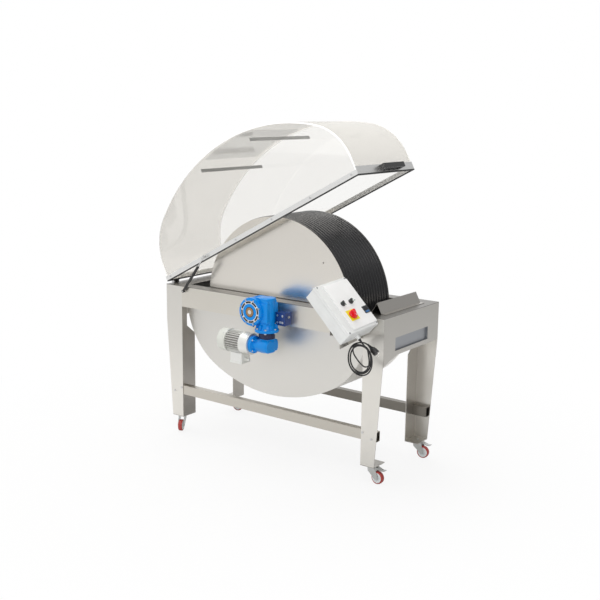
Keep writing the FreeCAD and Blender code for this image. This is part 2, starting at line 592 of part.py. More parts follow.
# ------------------------------------------------------------------ drive
def drive():
    """Two worm gearboxes and a flange motor that hang on the drum shaft, and their torque arm."""
    y0 = "(-gear_gap - gear_depth)"
    hub = round_bar("gear_hub", (DRUM_X, y0, "drum_z"), "gear_radius", "gear_depth", "y")
    case = block("gear_case", (DRUM_X + " - 20", y0 + " + 8", "drum_z - 80"),
                 ("gear_offset + 60", "gear_depth - 12", "166"))
    worm = round_bar("gear_worm", (WORM_X, WORM_Y, "drum_z - 100"), "46", "178", "z")
    lip = round_bar("gear_lip", (WORM_X, WORM_Y, "drum_z - 117"), "72", "17", "z")
    bore = round_bar("gear_bore", (DRUM_X, y0 + " - 1", "drum_z"), "shaft_radius + running_gap",
                     "gear_depth + 2", "y")
    plain = fuse("gear_upper_body", [hub, case, worm, lip])
    node("gearbox_upper", cut("gearbox_upper", plain, bore))
    cover = new_body("output_cover")
    pad(cover, ring(cover, "XZ_Plane", ("0", "0"), "gear_radius - 3", "0"), "11")
    pocket(cover, ring(cover, "XZ_Plane", ("0", "0"), "shaft_radius + 9", "4"))
    slot = outline(cover, "XZ_Plane", [("60", "-14"), ("67", "-15"), ("67", "15"), ("60", "14")], "11")
    before = cover.Shape.Volume
    nick = cover.newObject("PartDesign::Pocket", "cover_slot")
    nick.Profile = slot
    nick.Length = 6
    doc.recompute()
    if not cover.Shape.Volume < before:
        raise RuntimeError("the cover's slot cuts nothing")
    wheel = cover.newObject("PartDesign::PolarPattern", "cover_slots")
    wheel.Originals = [nick]
    wheel.Axis = (plane_of(cover, "Y_Axis"), [""])
    wheel.Angle = 360
    wheel.Occurrences = 8
    cover.Tip = wheel
    doc.recompute()
    node("output_cover", cover, (DRUM_X, y0, "drum_z"))
    plug = round_bar("gear_plug_head", (DRUM_X + " - 5", y0 + " + 20", "drum_z - gear_radius - 9"), "13", "20", "z")
    plug = cut("gearbox_plug", plug, round_bar("gear_plug_seat", (DRUM_X, y0 + " - 1", "drum_z"),
                                               "gear_radius", "gear_depth", "y"))
    base_z, top_z = "(motor_z - 41)", "(motor_z + 41)"
    drop = "(drum_z - 117)"
    parts = [round_bar("low_hub", (WORM_X, WORM_Y, base_z), "52", "82", "z"),
             round_bar("low_neck", (WORM_X, WORM_Y, top_z), "34", "%s - %s" % (drop, top_z), "z"),
             block("low_case", (WORM_X + " - 50", MOTOR_Y, base_z + " + 5"), ("104", "motor_offset", "72")),
             round_bar("low_worm", (WORM_X + " - 52", MOTOR_Y, "motor_z"), "38", "110", "x"),
             round_bar("low_lip", (WORM_X + " - 74", MOTOR_Y, "motor_z"), "52", "22", "x")]
    node("gearbox_lower", fuse("gearbox_lower", parts))
    lip_x = "(%s - 74)" % WORM_X
    far_x = "(%s - motor_length)" % lip_x
    motor = new_body("motor_casting")
    # turned round its own X axis; x = 0 at the gearbox lip, running towards -x
    shape = [("0", "0"), ("0", "52"), ("-8", "54"), ("-8", "motor_radius + 2"), ("-52", "motor_radius + 5"),
             ("-58", "motor_radius + 5"), ("-58", "motor_radius"), ("62 - motor_length", "motor_radius"),
             ("62 - motor_length", "0")]
    spin(motor, outline(motor, "XY_Plane", shape), "X_Axis")
    fin = pad(motor, outline(motor, "YZ_Plane", [("motor_radius - 2", "-1.6"), ("motor_radius + fin_height", "-1.2"),
                                                 ("motor_radius + fin_height", "1.2"), ("motor_radius - 2", "1.6")],
                             "-58"), "motor_length - 120", back=True)
    fins = motor.newObject("PartDesign::PolarPattern", "motor_fins")
    fins.Originals = [fin]
    fins.Axis = (plane_of(motor, "X_Axis"), [""])
    fins.Angle = 360
    fins.setExpression("Occurrences", ex("fin_count"))
    motor.Tip = fins
    doc.recompute()
    box = block("terminal_box", ("-142", "-40", "-motor_radius - 66"), ("88", "80", "72"))
    gland = round_bar("terminal_gland", ("-56", "0", "-motor_radius - 40"), "11", "30", "x")
    node("motor_body", fuse("motor_body", [motor, box, gland]), (lip_x, MOTOR_Y, "motor_z"))
    cover = new_body("fan_cover")
    rim = "(motor_radius + fin_height + 2)"
    shape = [("0", rim + " - 12"), ("3", rim + " - 4"), ("9", rim), ("62", rim), ("62", rim + " - 2"),
             ("9", rim + " - 2"), ("4.5", rim + " - 6"), ("2", rim + " - 12"), ("2", "8"), ("0", "8")]
    spin(cover, outline(cover, "XY_Plane", shape), "X_Axis")
    hole = ring(cover, "YZ_Plane", ("34", "0"), "4")
    before = cover.Shape.Volume
    vent = cover.newObject("PartDesign::Pocket", "cover_vent")
    vent.Profile = hole
    vent.Length = 4
    vent.Midplane = True
    doc.recompute()
    if not cover.Shape.Volume < before:
        raise RuntimeError("the fan cover's vent cuts nothing")
    vents = cover.newObject("PartDesign::PolarPattern", "cover_vents")
    vents.Originals = [vent]
    vents.Axis = (plane_of(cover, "X_Axis"), [""])
    vents.Angle = 360
    vents.Occurrences = 12
    cover.Tip = vents
    doc.recompute()
    node("fan_cover", cover, (far_x, MOTOR_Y, "motor_z"))
    left, right, deep = "(%s + 40)" % WORM_X, "(%s + 114)" % WORM_X, "62"
    arm = fuse("torque_arm", [
        block("arm_front", (left, "-" + deep, "drum_z - 77"), ("114 - 40", "9", "80")),
        block("arm_side", (right + " - 9", "-" + deep, "drum_z - 77"), ("9", deep, "80")),
        block("arm_back", (left, "-8", "drum_z - 77"), ("114 - 40", "8", "80"))])
    node("torque_arm", arm)
    heads = [plug]
    for k in range(8):
        a = math.radians(22.5 + 45 * k)
        heads.append(round_bar("cover_bolt", ("%s + (gear_radius - 9.5) * %.5f" % (DRUM_X, math.cos(a)), y0 + " - 14",
                                              "drum_z + (gear_radius - 9.5) * %.5f" % math.sin(a)), "4.5", "3", "y"))
    heads.append(round_bar("arm_bolt_front", (left + " + 42", "-%s - 6" % deep, "drum_z - 55"), "7", "6", "y"))
    heads.append(round_bar("arm_bolt_side", (right, "-32", "drum_z - 25"), "7", "6", "x"))
    node("drive_bolts", group("drive_bolts", heads))


# ------------------------------------------------------------------ control box
def box_turn():
    return FreeCAD.Rotation(Vec(0, 1, 0), num("box_tilt")) * FreeCAD.Rotation(Vec(1, 0, 0), num("box_roll"))


BOX_AT = ("box_x", "box_y", "box_z")


def control_box():
    """A sloping plastic box: hollow base, lid with a raised field, screws, plate, display and gland."""
    turn = box_turn()
    seam = "(-lid_depth)"
    outer = block("base_block", ("0", "0", "-box_depth"), ("box_length", "box_width", "box_depth - lid_depth"))
    inner = block("base_hollow", ("box_wall", "box_wall", "box_wall - box_depth"),
                  ("box_length - 2 * box_wall", "box_width - 2 * box_wall", "box_depth"))
    node("box_base", cut("box_base", outer, inner), BOX_AT, turn)
    slab = block("lid_slab", ("-2", "-2", seam), ("box_length + 4", "box_width + 4", "lid_depth"))
    field = block("lid_field", ("16", "48", "0"), ("box_length - 32", "box_width - 50", "panel_rise"))
    holes = [round_bar("lid_hole_" + name, (x, y, "-box_depth"), "5 + running_gap", "box_depth + panel_rise + 1", "z")
             for name, x, y in knob_places()]
    node("box_lid", cut("box_lid", fuse("lid_whole", [slab, field]), fuse("lid_holes", holes)), BOX_AT, turn)
    screws = []
    for x in ("9", "box_length - 9"):
        for y in ("9", "box_width - 10"):
            screws.append(round_bar("lid_screw", (x, y, "0"), "5", "2", "z"))
    node("box_screws", group("box_screws", screws), BOX_AT, turn)
    plate = block("plate_slab", ("229 - 33", "108 - 33", "panel_rise"), ("66", "66", "2"))
    eye = round_bar("plate_eye", ("229", "108", "panel_rise - 1"), "5 + running_gap", "4", "z")
    node("switch_plate", cut("switch_plate", plate, eye), BOX_AT, turn)
    bezel = block("display_bezel", ("203", "204", "panel_rise"), ("46", "43", "3"))
    glass = block("display_glass", ("208", "210", "panel_rise + 1"), ("28", "31", "3"))
    node("display_window", fuse("display_window", [bezel, glass]), BOX_AT, turn)
    hexes = round_bar("gland_nut", ("box_length", "105", "-56"), "15", "9", "x")
    neck = round_bar("gland_neck", ("box_length + 9", "105", "-56"), "11", "15", "x")
    node("cord_gland", fuse("cord_gland", [hexes, neck]), BOX_AT, turn)


def knob_places():
    return [("main", "229", "108"), ("left", "150", "94"), ("right", "153", "159")]


def knobs():
    """The red main switch and two black selectors, each on its own spindle."""
    turn = box_turn()
    for name, x, y in knob_places():
        main = name == "main"
        base = "(panel_rise + 2.3)" if main else "(panel_rise + 0.3)"
        radius, thick = ("22", "12") if main else ("12", "8")
        grip_l, grip_w, grip_h = ("46", "13", "26") if main else ("26", "8", "19")
        disc = round_bar("knob_disc_" + name, ("0", "0", "0"), radius, thick, "z")
        grip = block("knob_grip_" + name, ("-(%s) / 2" % grip_l, "-(%s) / 2" % grip_w, "0"), (grip_l, grip_w, grip_h))
        stem = round_bar("knob_stem_" + name, ("0", "0", "-(%s) - 18" % base), "5", "%s + 18" % base, "z")
        label = "main_switch" if main else "selector_" + name
        whole = fuse(label, [disc, grip, stem])
        shift = turn.multVec(Vec(num(x), num(y), num(base)))
        spot = ("box_x + (%.6f)" % shift.x, "box_y + (%.6f)" % shift.y, "box_z + (%.6f)" % shift.z)
        node(label, whole, spot, turn)


def box_bracket():
    """The stainless carrier: a sloping plate under the box on two gussets and a back plate."""
    turn = box_turn()
    spot = FreeCAD.Placement(Vec(num("box_x"), num("box_y"), num("box_z")), turn)
    length, width, depth = num("box_length"), num("box_width"), num("box_depth")
    t = 4.0
    plate = Part.makeBox(length - 70, width - 50, t, Vec(35, 35, -depth - t))
    plate.Placement = spot
    above = Part.makeBox(4 * length, 4 * width, 4 * depth, Vec(-length, -width, -depth - t))
    above.Placement = spot
    rail_z, deck_z = num(RAIL_Z), num("frame_top")
    x0 = num("box_x") + 55
    back = Part.makeBox(90, t, deck_z - rail_z - 10, Vec(x0, -t, rail_z + 5)).cut(above)
    webs = []
    for x in (x0 + 10, x0 + 76):
        under = num("box_z") - depth - (x - num("box_x") + depth) + 20
        low = max(rail_z + 5, under - 100)
        face = Part.makePolygon([Vec(x, 0, low), Vec(x, 0, deck_z + 300), Vec(x, -215, deck_z + 300),
                                 Vec(x, -215, under - 22), Vec(x, 0, low)])
        webs.append(Part.Face(face).extrude(Vec(t, 0, 0)).cut(above))
    carrier = plate.fuse([back] + webs).removeSplitter()
    node("box_bracket", feature("box_bracket", carrier))


# ------------------------------------------------------------------ hood
def hood():
    """The clear hood.  Drawn shut, with the hinge at its origin, then opened by hood_angle."""
    turn = FreeCAD.Rotation(Vec(0, 1, 0), -num("hood_angle"))
    at = ("-hinge_out", "0", HINGE_Z)
    half = num("hood_length / 2")
    middle = num("hood_near + hood_length / 2")
    straight, corner, rise = num("hood_straight"), num("hood_corner"), num("hood_rise")
    inset, panel, skin = num("hood_inset"), num("hood_panel"), num("hood_sheet")
    width, foot = num("frame_width"), num("seal_height")
    outer = arch_wire(half, straight, corner, rise, 0, foot, middle=middle)
    inner = arch_wire(half, straight, corner, rise, skin, foot - 20, middle=middle)
    lining = arch_wire(half, straight, corner, rise, skin + 3, foot - 20, middle=middle)
    sides = [arch_slab(outer, inset, panel), arch_slab(outer, width - inset - panel, panel)]
    sheet_ = arch_slab(outer, inset + panel, width - 2 * (inset + panel)).cut(arch_slab(inner, 0, width))
    against = arch_wire(half, straight, corner, rise, skin + 0.3, foot - 20, middle=middle)
    vent = arch_slab(against, 60, width - 120).cut(arch_slab(lining, 50, width - 100))
    vent = vent.common(Part.makeBox(400, width, rise, Vec(num("hood_near") + 620, 0, rise / 2)))
    node("hood_sides", feature("hood_sides", Part.makeCompound(sides)), at, turn)
    node("hood_top_sheet", feature("hood_top_sheet", sheet_), at, turn)
    node("hood_vent_panel", feature("hood_vent_panel", vent), at, turn)
    bars = [block("hood_bar_%d" % k, ("hood_near + %d" % x, "hood_inset + hood_panel", "495"),
                  ("6", "frame_width - 2 * (hood_inset + hood_panel)", "20"))
            for k, x in enumerate((595, 1030))]
    node("hood_cross_bars", group("hood_cross_bars", bars), at, turn)
    lip = "strip_sheet"
    y0 = "(hood_inset - strip_sheet)"
    wide = "(frame_width - 2 * hood_inset + 2 * strip_sheet)"
    frame_outer = block("strip_block", ("hood_near - " + lip, y0, "seal_height"),
                        ("hood_length + 2 * strip_sheet", wide, "strip_height"))
    frame_inner = block("strip_hollow", ("hood_near", "hood_inset", "seal_height - 1"),
                        ("hood_length", "frame_width - 2 * hood_inset", "strip_height + 2"))
    ring_ = cut("strip_ring", frame_outer, frame_inner)
    front = block("strip_front", ("hood_near + hood_length", y0, "seal_height"), ("strip_sheet", wide, "46"))
    node("hood_edge_frame", fuse("hood_edge_frame", [ring_, front]), at, turn)
    seal = cut("hood_seal",
               block("seal_block", ("hood_near - " + lip, y0, "0"), ("hood_length + 2 * strip_sheet", wide, "seal_height")),
               block("seal_hollow", ("hood_near - strip_sheet + seal_width", y0 + " + seal_width", "-1"),
                     ("hood_length + 2 * strip_sheet - 2 * seal_width", wide + " - 2 * seal_width", "seal_height + 2")))
    node("hood_seal", seal, at, turn)
    front_x = "(hood_near + hood_length + strip_sheet)"
    grip = cut("hood_handle",
               block("handle_block", (front_x, "frame_width / 2 - 68", "14"), ("36", "220", "30")),
               block("handle_hollow", (front_x + " - 1", "frame_width / 2 - 68 + 22", "10"), ("23", "176", "22")))
    node("hood_handle", grip, at, turn)
    screws = []
    for k in range(6):
        x = "hood_near + 40 + (hood_length - 80) * %d / 5" % k
        for y in (y0 + " - 3", "frame_width - hood_inset + strip_sheet"):
            screws.append(round_bar("hood_screw", (x, y, "seal_height + 15"), "6", "3", "y"))
    screws.append(round_bar("strut_stud", ("stud_x", "-5", "stud_z - 12"), "5", "hood_inset - strip_sheet + 5", "y"))
    node("hood_screws", group("hood_screws", screws), at, turn)
    leaves = []
    for y in HINGE_ROWS:
        knuckle = round_bar("leaf_knuckle", ("0", "%s - 15" % y, "0"), "10", "30", "y")
        arm = block("leaf_arm", ("0", "%s - 15" % y, "-2"), ("hood_near - strip_sheet", "30", "12"))
        foot_ = block("leaf_foot", ("hood_near - strip_sheet - 5", "%s - 15" % y, "8"), ("5", "30", "24"))
        hole = round_bar("leaf_hole", ("0", "%s - 16" % y, "0"), "4 + running_gap", "32", "y")
        leaves.append(cut("leaf", fuse("leaf_whole", [knuckle, arm, foot_]), hole))
    node("hinge_leaves", group("hinge_leaves", leaves), at, turn)


def hinge_blocks():
    """The fixed halves of the hood hinges, outside the left end panel, with their pins."""
    blocks = []
    for y in HINGE_ROWS:
        back = block("hinge_back", ("-5", "%s - 25" % y, "frame_top - 30"), ("5", "50", "29"))
        cheeks = []
        for start in ("%s - 25" % y, "%s + 15.3" % y):
            cheeks.append(block("hinge_cheek", ("-hinge_out", start, "frame_top - 22"), ("hinge_out", "9.7", "21")))
            cheeks.append(round_bar("hinge_eye", ("-hinge_out", start, HINGE_Z), "10", "9.7", "y"))
        pin = round_bar("hinge_pin", ("-hinge_out", "%s - 25" % y, HINGE_Z), "4", "50", "y")
        blocks.append(fuse("hinge_block", [back, pin] + cheeks))
    node("hinge_blocks", group("hinge_blocks", blocks))


# ------------------------------------------------------------------ gas spring
def gas_spring():
    """Cylinder below, rod above, drawn upright from the foot pin and then leaned to the stud."""
    opened = math.radians(num("hood_angle"))
    sx, sz = num("stud_x"), num("stud_z - 12")
    stud = Vec(-num("hinge_out") + sx * math.cos(opened) - sz * math.sin(opened), 0,
               num(HINGE_Z) + sx * math.sin(opened) + sz * math.cos(opened))
    foot = Vec(num("strut_x"), 0, num("frame_top - strut_drop"))
    reach = (stud - foot).Length
    lean = math.degrees(math.atan2(stud.x - foot.x, stud.z - foot.z))
    turn = FreeCAD.Rotation(Vec(0, 1, 0), lean)
    at = ("strut_x", "-13", "frame_top - strut_drop")
    tube = round_bar("spring_tube", ("0", "0", "12"), "strut_radius", "strut_body - 12", "z")
    eye = round_bar("spring_eye", ("0", "-6", "0"), "9", "12", "y")
    neck = round_bar("spring_neck", ("0", "0", "0"), "5", "14", "z")
    hole = round_bar("spring_hole", ("0", "-8", "0"), "4 + running_gap", "16", "y")
    bore = round_bar("spring_bore", ("0", "0", "45"), "strut_rod + running_gap", "strut_body", "z")
    node("strut_cylinder", cut("strut_cylinder", fuse("spring_body", [tube, eye, neck]),
                               fuse("spring_holes", [hole, bore])), at, turn)
    rod = round_bar("rod_bar", ("0", "0", "115"), "strut_rod", "%.6f - 121" % reach, "z")
    top = round_bar("rod_eye", ("0", "-6", "%.6f" % reach), "9", "12", "y")
    node("strut_rod", fuse("strut_rod", [rod, top]), at, turn)
    print("gas spring: reach %.1f lean %.2f" % (reach, lean))


# ------------------------------------------------------------------ castors
CASTOR_TURN = {"front_left": -62, "front_right": -4, "rear_left": 12, "rear_right": 6}


def castors():
    """Four swivel castors; the two on the right have brake pedals."""
    for name, x, y in corner_places():
        turn = FreeCAD.Rotation(Vec(0, 0, 1), CASTOR_TURN[name])
        head = round_bar("head_" + name, ("0", "0", "castor_height - 12"), "26", "11.7", "z")
        stem = round_bar("stem_" + name, ("0", "0", "castor_height - 12"), "6", "12 + foot_sheet + 6", "z")
        cheek_pts = [("-24", "castor_height - 9"), ("26", "castor_height - 9"),
                     ("castor_trail + 13", "wheel_radius + 6"), ("castor_trail + 11", "wheel_radius - 9"),
                     ("castor_trail - 9", "wheel_radius - 9"), ("-20", "castor_height - 34")]
        gap = "(wheel_width / 2 + 3)"
        cheek_a = prism("cheek_a_" + name, "XZ_Plane", cheek_pts, "-%s - fork_sheet" % gap, "fork_sheet")
        cheek_b = prism("cheek_b_" + name, "XZ_Plane", cheek_pts, gap, "fork_sheet")
        bridge = block("bridge_" + name, ("-24", "-%s" % gap, "castor_height - 13"), ("50", "2 * " + gap, "4"))
        axle = round_bar("axle_" + name, ("castor_trail", "-%s - fork_sheet - 3" % gap, "wheel_radius"), "5",
                         "2 * %s + 2 * fork_sheet + 6" % gap, "y")
        fork = [fuse("fork_body_" + name, [head, stem, cheek_a, cheek_b, bridge, axle])]
        if "right" in name:
            pts = [("26.5", "castor_height - 9"), ("34", "castor_height - 9"), ("68", "castor_height - 20"),
                   ("88", "castor_height - 17"), ("88", "castor_height - 14"), ("68", "castor_height - 16"),
                   ("36", "castor_height - 5"), ("26.5", "castor_height - 5")]
            fork.append(prism("pedal_" + name, "XZ_Plane", pts, "-15", "30"))
        node("castor_fork_" + name, group("castor_" + name, fork), (x, y, "0"), turn)
        a = math.radians(CASTOR_TURN[name])
        wheel = new_body("castor_wheel_" + name)
        w = "wheel_width / 2"
        pts = [("5 + running_gap", "-%s - 2" % w), ("12", "-%s - 2" % w), ("12", "-%s + 4" % w),
               ("wheel_radius - 12", "-%s + 4" % w), ("wheel_radius - 8", "-" + w), ("wheel_radius - 3", "-" + w),
               ("wheel_radius", "-%s + 5" % w), ("wheel_radius", "%s - 5" % w), ("wheel_radius - 3", w),
               ("wheel_radius - 8", w), ("wheel_radius - 12", "%s - 4" % w), ("12", "%s - 4" % w),
               ("12", "%s + 2" % w), ("5 + running_gap", "%s + 2" % w)]
        spin(wheel, outline(wheel, "XY_Plane", pts), "Y_Axis")
        node("castor_wheel_" + name, wheel, ("%s + castor_trail * %.6f" % (x, math.cos(a)),
                                             "%s + castor_trail * %.6f" % (y, math.sin(a)), "wheel_radius"), turn)


# ------------------------------------------------------------------ mains cord
COIL_CENTRE = Vec(1579, -130, 770)
COIL_RADIUS = 72.0
COIL_THICK = 15.0
COIL_STRAIGHT = 18.0


def rounded_path(points):
    """Straight runs joined by tangent arcs, each as large as its two runs allow."""
    edges = []
    start = points[0]
    for before, here, after in zip(points, points[1:], points[2:]):
        a, b = (before - here), (after - here)
        turn = math.pi - a.getAngle(b)
        cutback = 0.45 * min(a.Length, b.Length)
        radius = cutback / math.tan(turn / 2)
        p, q = here + a.normalize() * cutback, here + b.normalize() * cutback
        middle = here + (a + b).normalize() * (math.hypot(radius, cutback) - radius)
        edges += [Part.LineSegment(start, p).toShape(), Part.Arc(p, middle, q).toShape()]
        print("cord arc radius %.1f, turn %.1f" % (radius, math.degrees(turn)))
        start = q
    edges.append(Part.LineSegment(start, points[-1]).toShape())
    return Part.Wire(edges)


def tube(path, radius):
    start = path.Edges[0]
    spot = start.valueAt(start.FirstParameter)
    ahead = start.tangentAt(start.FirstParameter)
    ring_ = Part.Wire(Part.makeCircle(radius, spot, ahead))
    return path.makePipeShell([ring_], True, False)


def cord():
    """The black mains cord: a short lead from the gland, a hank of coiled turns and the plug."""
    turn = box_turn()
    corner = Vec(num("box_x"), num("box_y"), num("box_z"))
    exit_ = corner + turn.multVec(Vec(num("box_length") + 24, 105, -56))
    ahead = turn.multVec(Vec(1, 0, 0))
    points = [exit_, exit_ + ahead * 36, COIL_CENTRE + Vec(55, -10, 68)]
    radius = num("cord_radius")
    path = rounded_path(points)
    lead = tube(path, radius)
    print("cord lead volume ratio %.4f" % (lead.Volume / (math.pi * radius ** 2 * path.Length)))
    print("cord points", [(round(p.x, 1), round(p.y, 1), round(p.z, 1)) for p in points])
    node("cord_lead", feature("cord_lead", lead))
    r, s, c = COIL_RADIUS, COIL_STRAIGHT / 2, COIL_CENTRE
    left, right = c + Vec(-r, 0, 0), c + Vec(r, 0, 0)
    up, down = Vec(0, 0, s), Vec(0, 0, -s)
    loop = Part.Wire([
        Part.LineSegment(right + down, right + up).toShape(),
        Part.Arc(right + up, c + Vec(0, 0, s + r), left + up).toShape(),
        Part.LineSegment(left + up, left + down).toShape(),
        Part.Arc(left + down, c + Vec(0, 0, -s - r), right + down).toShape()])
    across = Part.Arc(c + Vec(-47, -4, 62), c + Vec(-24, -6, 12), c + Vec(44, -4, -36)).toShape()
    coil = tube(loop, COIL_THICK).fuse(tube(Part.Wire([across]), radius))
    node("cord_coil", feature("cord_coil", coil))
    plug_at = COIL_CENTRE + Vec(59, 33, 59)
    lean = FreeCAD.Rotation(Vec(0, 0, 1), Vec(0.83, -0.05, -0.555))
    body = Part.makeCylinder(19, 34).fuse([Part.makeCone(9, 15, 14, Vec(0, 0, -14)),
                                           Part.makeCylinder(2.4, 19, Vec(9.5, 0, 34)),
                                           Part.makeCylinder(2.4, 19, Vec(-9.5, 0, 34))])
    body.Placement = FreeCAD.Placement(plug_at, lean)
    tail = plug_at + lean.multVec(Vec(0, 0, -14))
    ring_at = c + Vec(r * math.cos(0.87), 6, s + r * math.sin(0.87))
    flex = Part.makeCylinder(5.5, (ring_at - tail).Length, tail, ring_at - tail)
    node("cord_plug", feature("cord_plug", body.fuse(flex).removeSplitter()))


rails()
legs()
foot_plates()
end_panels()
deck()
stretchers()
frame_bolts()
tank()
guard()
drum()
bearings()
drive()
control_box()
knobs()
box_bracket()
hood()
hinge_blocks()
gas_spring()
castors()
cord()
doc.recompute()

for obj in doc.Objects:
    if "Invalid" in obj.State or "Error" in obj.State:
        raise RuntimeError("%s failed: %s" % (obj.Label, obj.State))
for obj in NODES:
    if obj.Shape.isNull() or not obj.Shape.isValid() or not obj.Shape.Solids:
        raise RuntimeError("%s has no valid solid" % obj.Label)

os.makedirs("parts", exist_ok=True)
total = FreeCAD.BoundBox()
for obj in NODES:
    obj.Shape.exportStep("parts/%s.step" % obj.Label)
    total.add(obj.Shape.BoundBox)
print("%d pieces, box x %.1f %.1f, y %.1f %.1f, z %.1f %.1f" % (
    len(NODES), total.XMin, total.XMax, total.YMin, total.YMax, total.ZMin, total.ZMax))
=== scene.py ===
import math

import bmesh
import bpy
from mathutils import Matrix, Vector


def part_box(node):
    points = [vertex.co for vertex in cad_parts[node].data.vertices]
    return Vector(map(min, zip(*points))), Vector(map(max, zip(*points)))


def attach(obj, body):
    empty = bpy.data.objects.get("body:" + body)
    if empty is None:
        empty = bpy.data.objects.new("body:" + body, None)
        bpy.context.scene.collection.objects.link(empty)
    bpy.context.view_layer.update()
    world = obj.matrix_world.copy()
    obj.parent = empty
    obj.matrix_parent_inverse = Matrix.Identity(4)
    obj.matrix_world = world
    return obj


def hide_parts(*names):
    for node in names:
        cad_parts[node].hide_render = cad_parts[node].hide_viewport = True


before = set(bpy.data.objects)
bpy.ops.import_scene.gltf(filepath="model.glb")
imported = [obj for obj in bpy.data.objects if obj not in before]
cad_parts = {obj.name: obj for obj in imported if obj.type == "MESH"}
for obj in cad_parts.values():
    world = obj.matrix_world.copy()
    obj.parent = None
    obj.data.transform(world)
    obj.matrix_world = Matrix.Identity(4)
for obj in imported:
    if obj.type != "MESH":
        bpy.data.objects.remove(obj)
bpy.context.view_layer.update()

# ---------------------------------------------------------------- room and view
# A white sweep with two large soft boxes.  The camera stands at chest height, about six metres
# from the machine's drive side, looking across it towards the far end.
floor_level = 0.0
room_size = 30.0

camera_data = bpy.data.cameras.new("camera")
camera_data.lens = 57.15
camera_data.sensor_width = 36.0
camera = bpy.data.objects.new("camera", camera_data)
camera_yaw, camera_pitch, camera_roll = -0.6347, 0.2021, 0.012
look = Vector((math.sin(camera_yaw) * math.cos(camera_pitch),
               math.cos(camera_yaw) * math.cos(camera_pitch), -math.sin(camera_pitch)))
level_right = look.cross(Vector((0, 0, 1))).normalized()
level_up = level_right.cross(look)
right = math.cos(camera_roll) * level_right + math.sin(camera_roll) * level_up
up = math.cos(camera_roll) * level_up - math.sin(camera_roll) * level_right
camera.matrix_world = Matrix((
    (right.x, up.x, -look.x, 3.4996), (right.y, up.y, -look.y, -4.5620),
    (right.z, up.z, -look.z, 2.1237), (0, 0, 0, 1)))
bpy.context.scene.collection.objects.link(camera)
bpy.context.scene.camera = camera
bpy.context.scene.view_settings.view_transform = "Standard"


def new_material(name):
    """A node material with its shader and output, ready for links."""
    material = bpy.data.materials.new(name)
    material.use_nodes = True
    nodes = material.node_tree.nodes
    return material, nodes, material.node_tree.links, nodes["Principled BSDF"]


def node_of(nodes, kind, **values):
    """One shader node with its settings; a key that names an input sets that input."""
    node = nodes.new(kind)
    for key, value in values.items():
        if key in node.inputs:
            node.inputs[key].default_value = value
        else:
            setattr(node, key, value)
    return node


floor_mesh = bpy.data.meshes.new("floor")
floor_bm = bmesh.new()
bmesh.ops.create_grid(floor_bm, x_segments=2, y_segments=2, size=room_size)
floor_bm.to_mesh(floor_mesh)
floor_bm.free()
floor = bpy.data.objects.new("floor", floor_mesh)
floor.location.z = floor_level
bpy.context.scene.collection.objects.link(floor)
floor_paint, nodes, links, shader = new_material("floor_paint")
shader.inputs["Base Color"].default_value = (0.80, 0.80, 0.80, 1)
shader.inputs["Roughness"].default_value = 0.9
shader.inputs["Specular IOR Level"].default_value = 0.0
place = node_of(nodes, "ShaderNodeTexCoord")
distance = node_of(nodes, "ShaderNodeVectorMath", operation="LENGTH")
links.new(place.outputs["Object"], distance.inputs[0])
fade = node_of(nodes, "ShaderNodeMapRange", interpolation_type="SMOOTHSTEP")
fade.inputs["From Min"].default_value = 0.9
fade.inputs["From Max"].default_value = 2.6
fade.inputs["To Min"].default_value = 0.86
fade.inputs["To Max"].default_value = 1.0
links.new(distance.outputs["Value"], fade.inputs["Value"])
ray = node_of(nodes, "ShaderNodeLightPath")
direct = node_of(nodes, "ShaderNodeMath", operation="MAXIMUM")
links.new(ray.outputs["Is Camera Ray"], direct.inputs[0])
links.new(ray.outputs["Is Transmission Ray"], direct.inputs[1])
share = node_of(nodes, "ShaderNodeMath", operation="MULTIPLY")
links.new(fade.outputs["Result"], share.inputs[0])
links.new(direct.outputs[0], share.inputs[1])
glow = node_of(nodes, "ShaderNodeEmission", Strength=1.0)
glow.inputs["Color"].default_value = (1, 1, 1, 1)
sweep = node_of(nodes, "ShaderNodeMixShader")
links.new(share.outputs[0], sweep.inputs["Fac"])
links.new(shader.outputs[0], sweep.inputs[1])
links.new(glow.outputs[0], sweep.inputs[2])
links.new(sweep.outputs[0], nodes["Material Output"].inputs["Surface"])
floor_mesh.materials.append(floor_paint)

world = bpy.data.worlds.new("studio")
bpy.context.scene.world = world
world.use_nodes = True
nodes, links = world.node_tree.nodes, world.node_tree.links
backdrop = nodes["Background"]
direction = node_of(nodes, "ShaderNodeTexCoord")
split = node_of(nodes, "ShaderNodeSeparateXYZ")
links.new(direction.outputs["Generated"], split.inputs[0])
sides = node_of(nodes, "ShaderNodeMapRange", interpolation_type="SMOOTHSTEP")
sides.inputs["From Min"].default_value = -0.9
sides.inputs["From Max"].default_value = 1.0
sides.inputs["To Min"].default_value = 1.05
sides.inputs["To Max"].default_value = 0.34
links.new(split.outputs["X"], sides.inputs["Value"])
path = node_of(nodes, "ShaderNodeLightPath")
seen = node_of(nodes, "ShaderNodeMath", operation="MAXIMUM")
links.new(path.outputs["Is Camera Ray"], seen.inputs[0])
links.new(path.outputs["Is Transmission Ray"], seen.inputs[1])
strength = node_of(nodes, "ShaderNodeMix", data_type="FLOAT")
links.new(seen.outputs[0], strength.inputs["Factor"])
links.new(sides.outputs["Result"], strength.inputs["A"])
strength.inputs["B"].default_value = 1.0
links.new(strength.outputs["Result"], backdrop.inputs["Strength"])
backdrop.inputs["Color"].default_value = (1.0, 1.0, 1.0, 1)


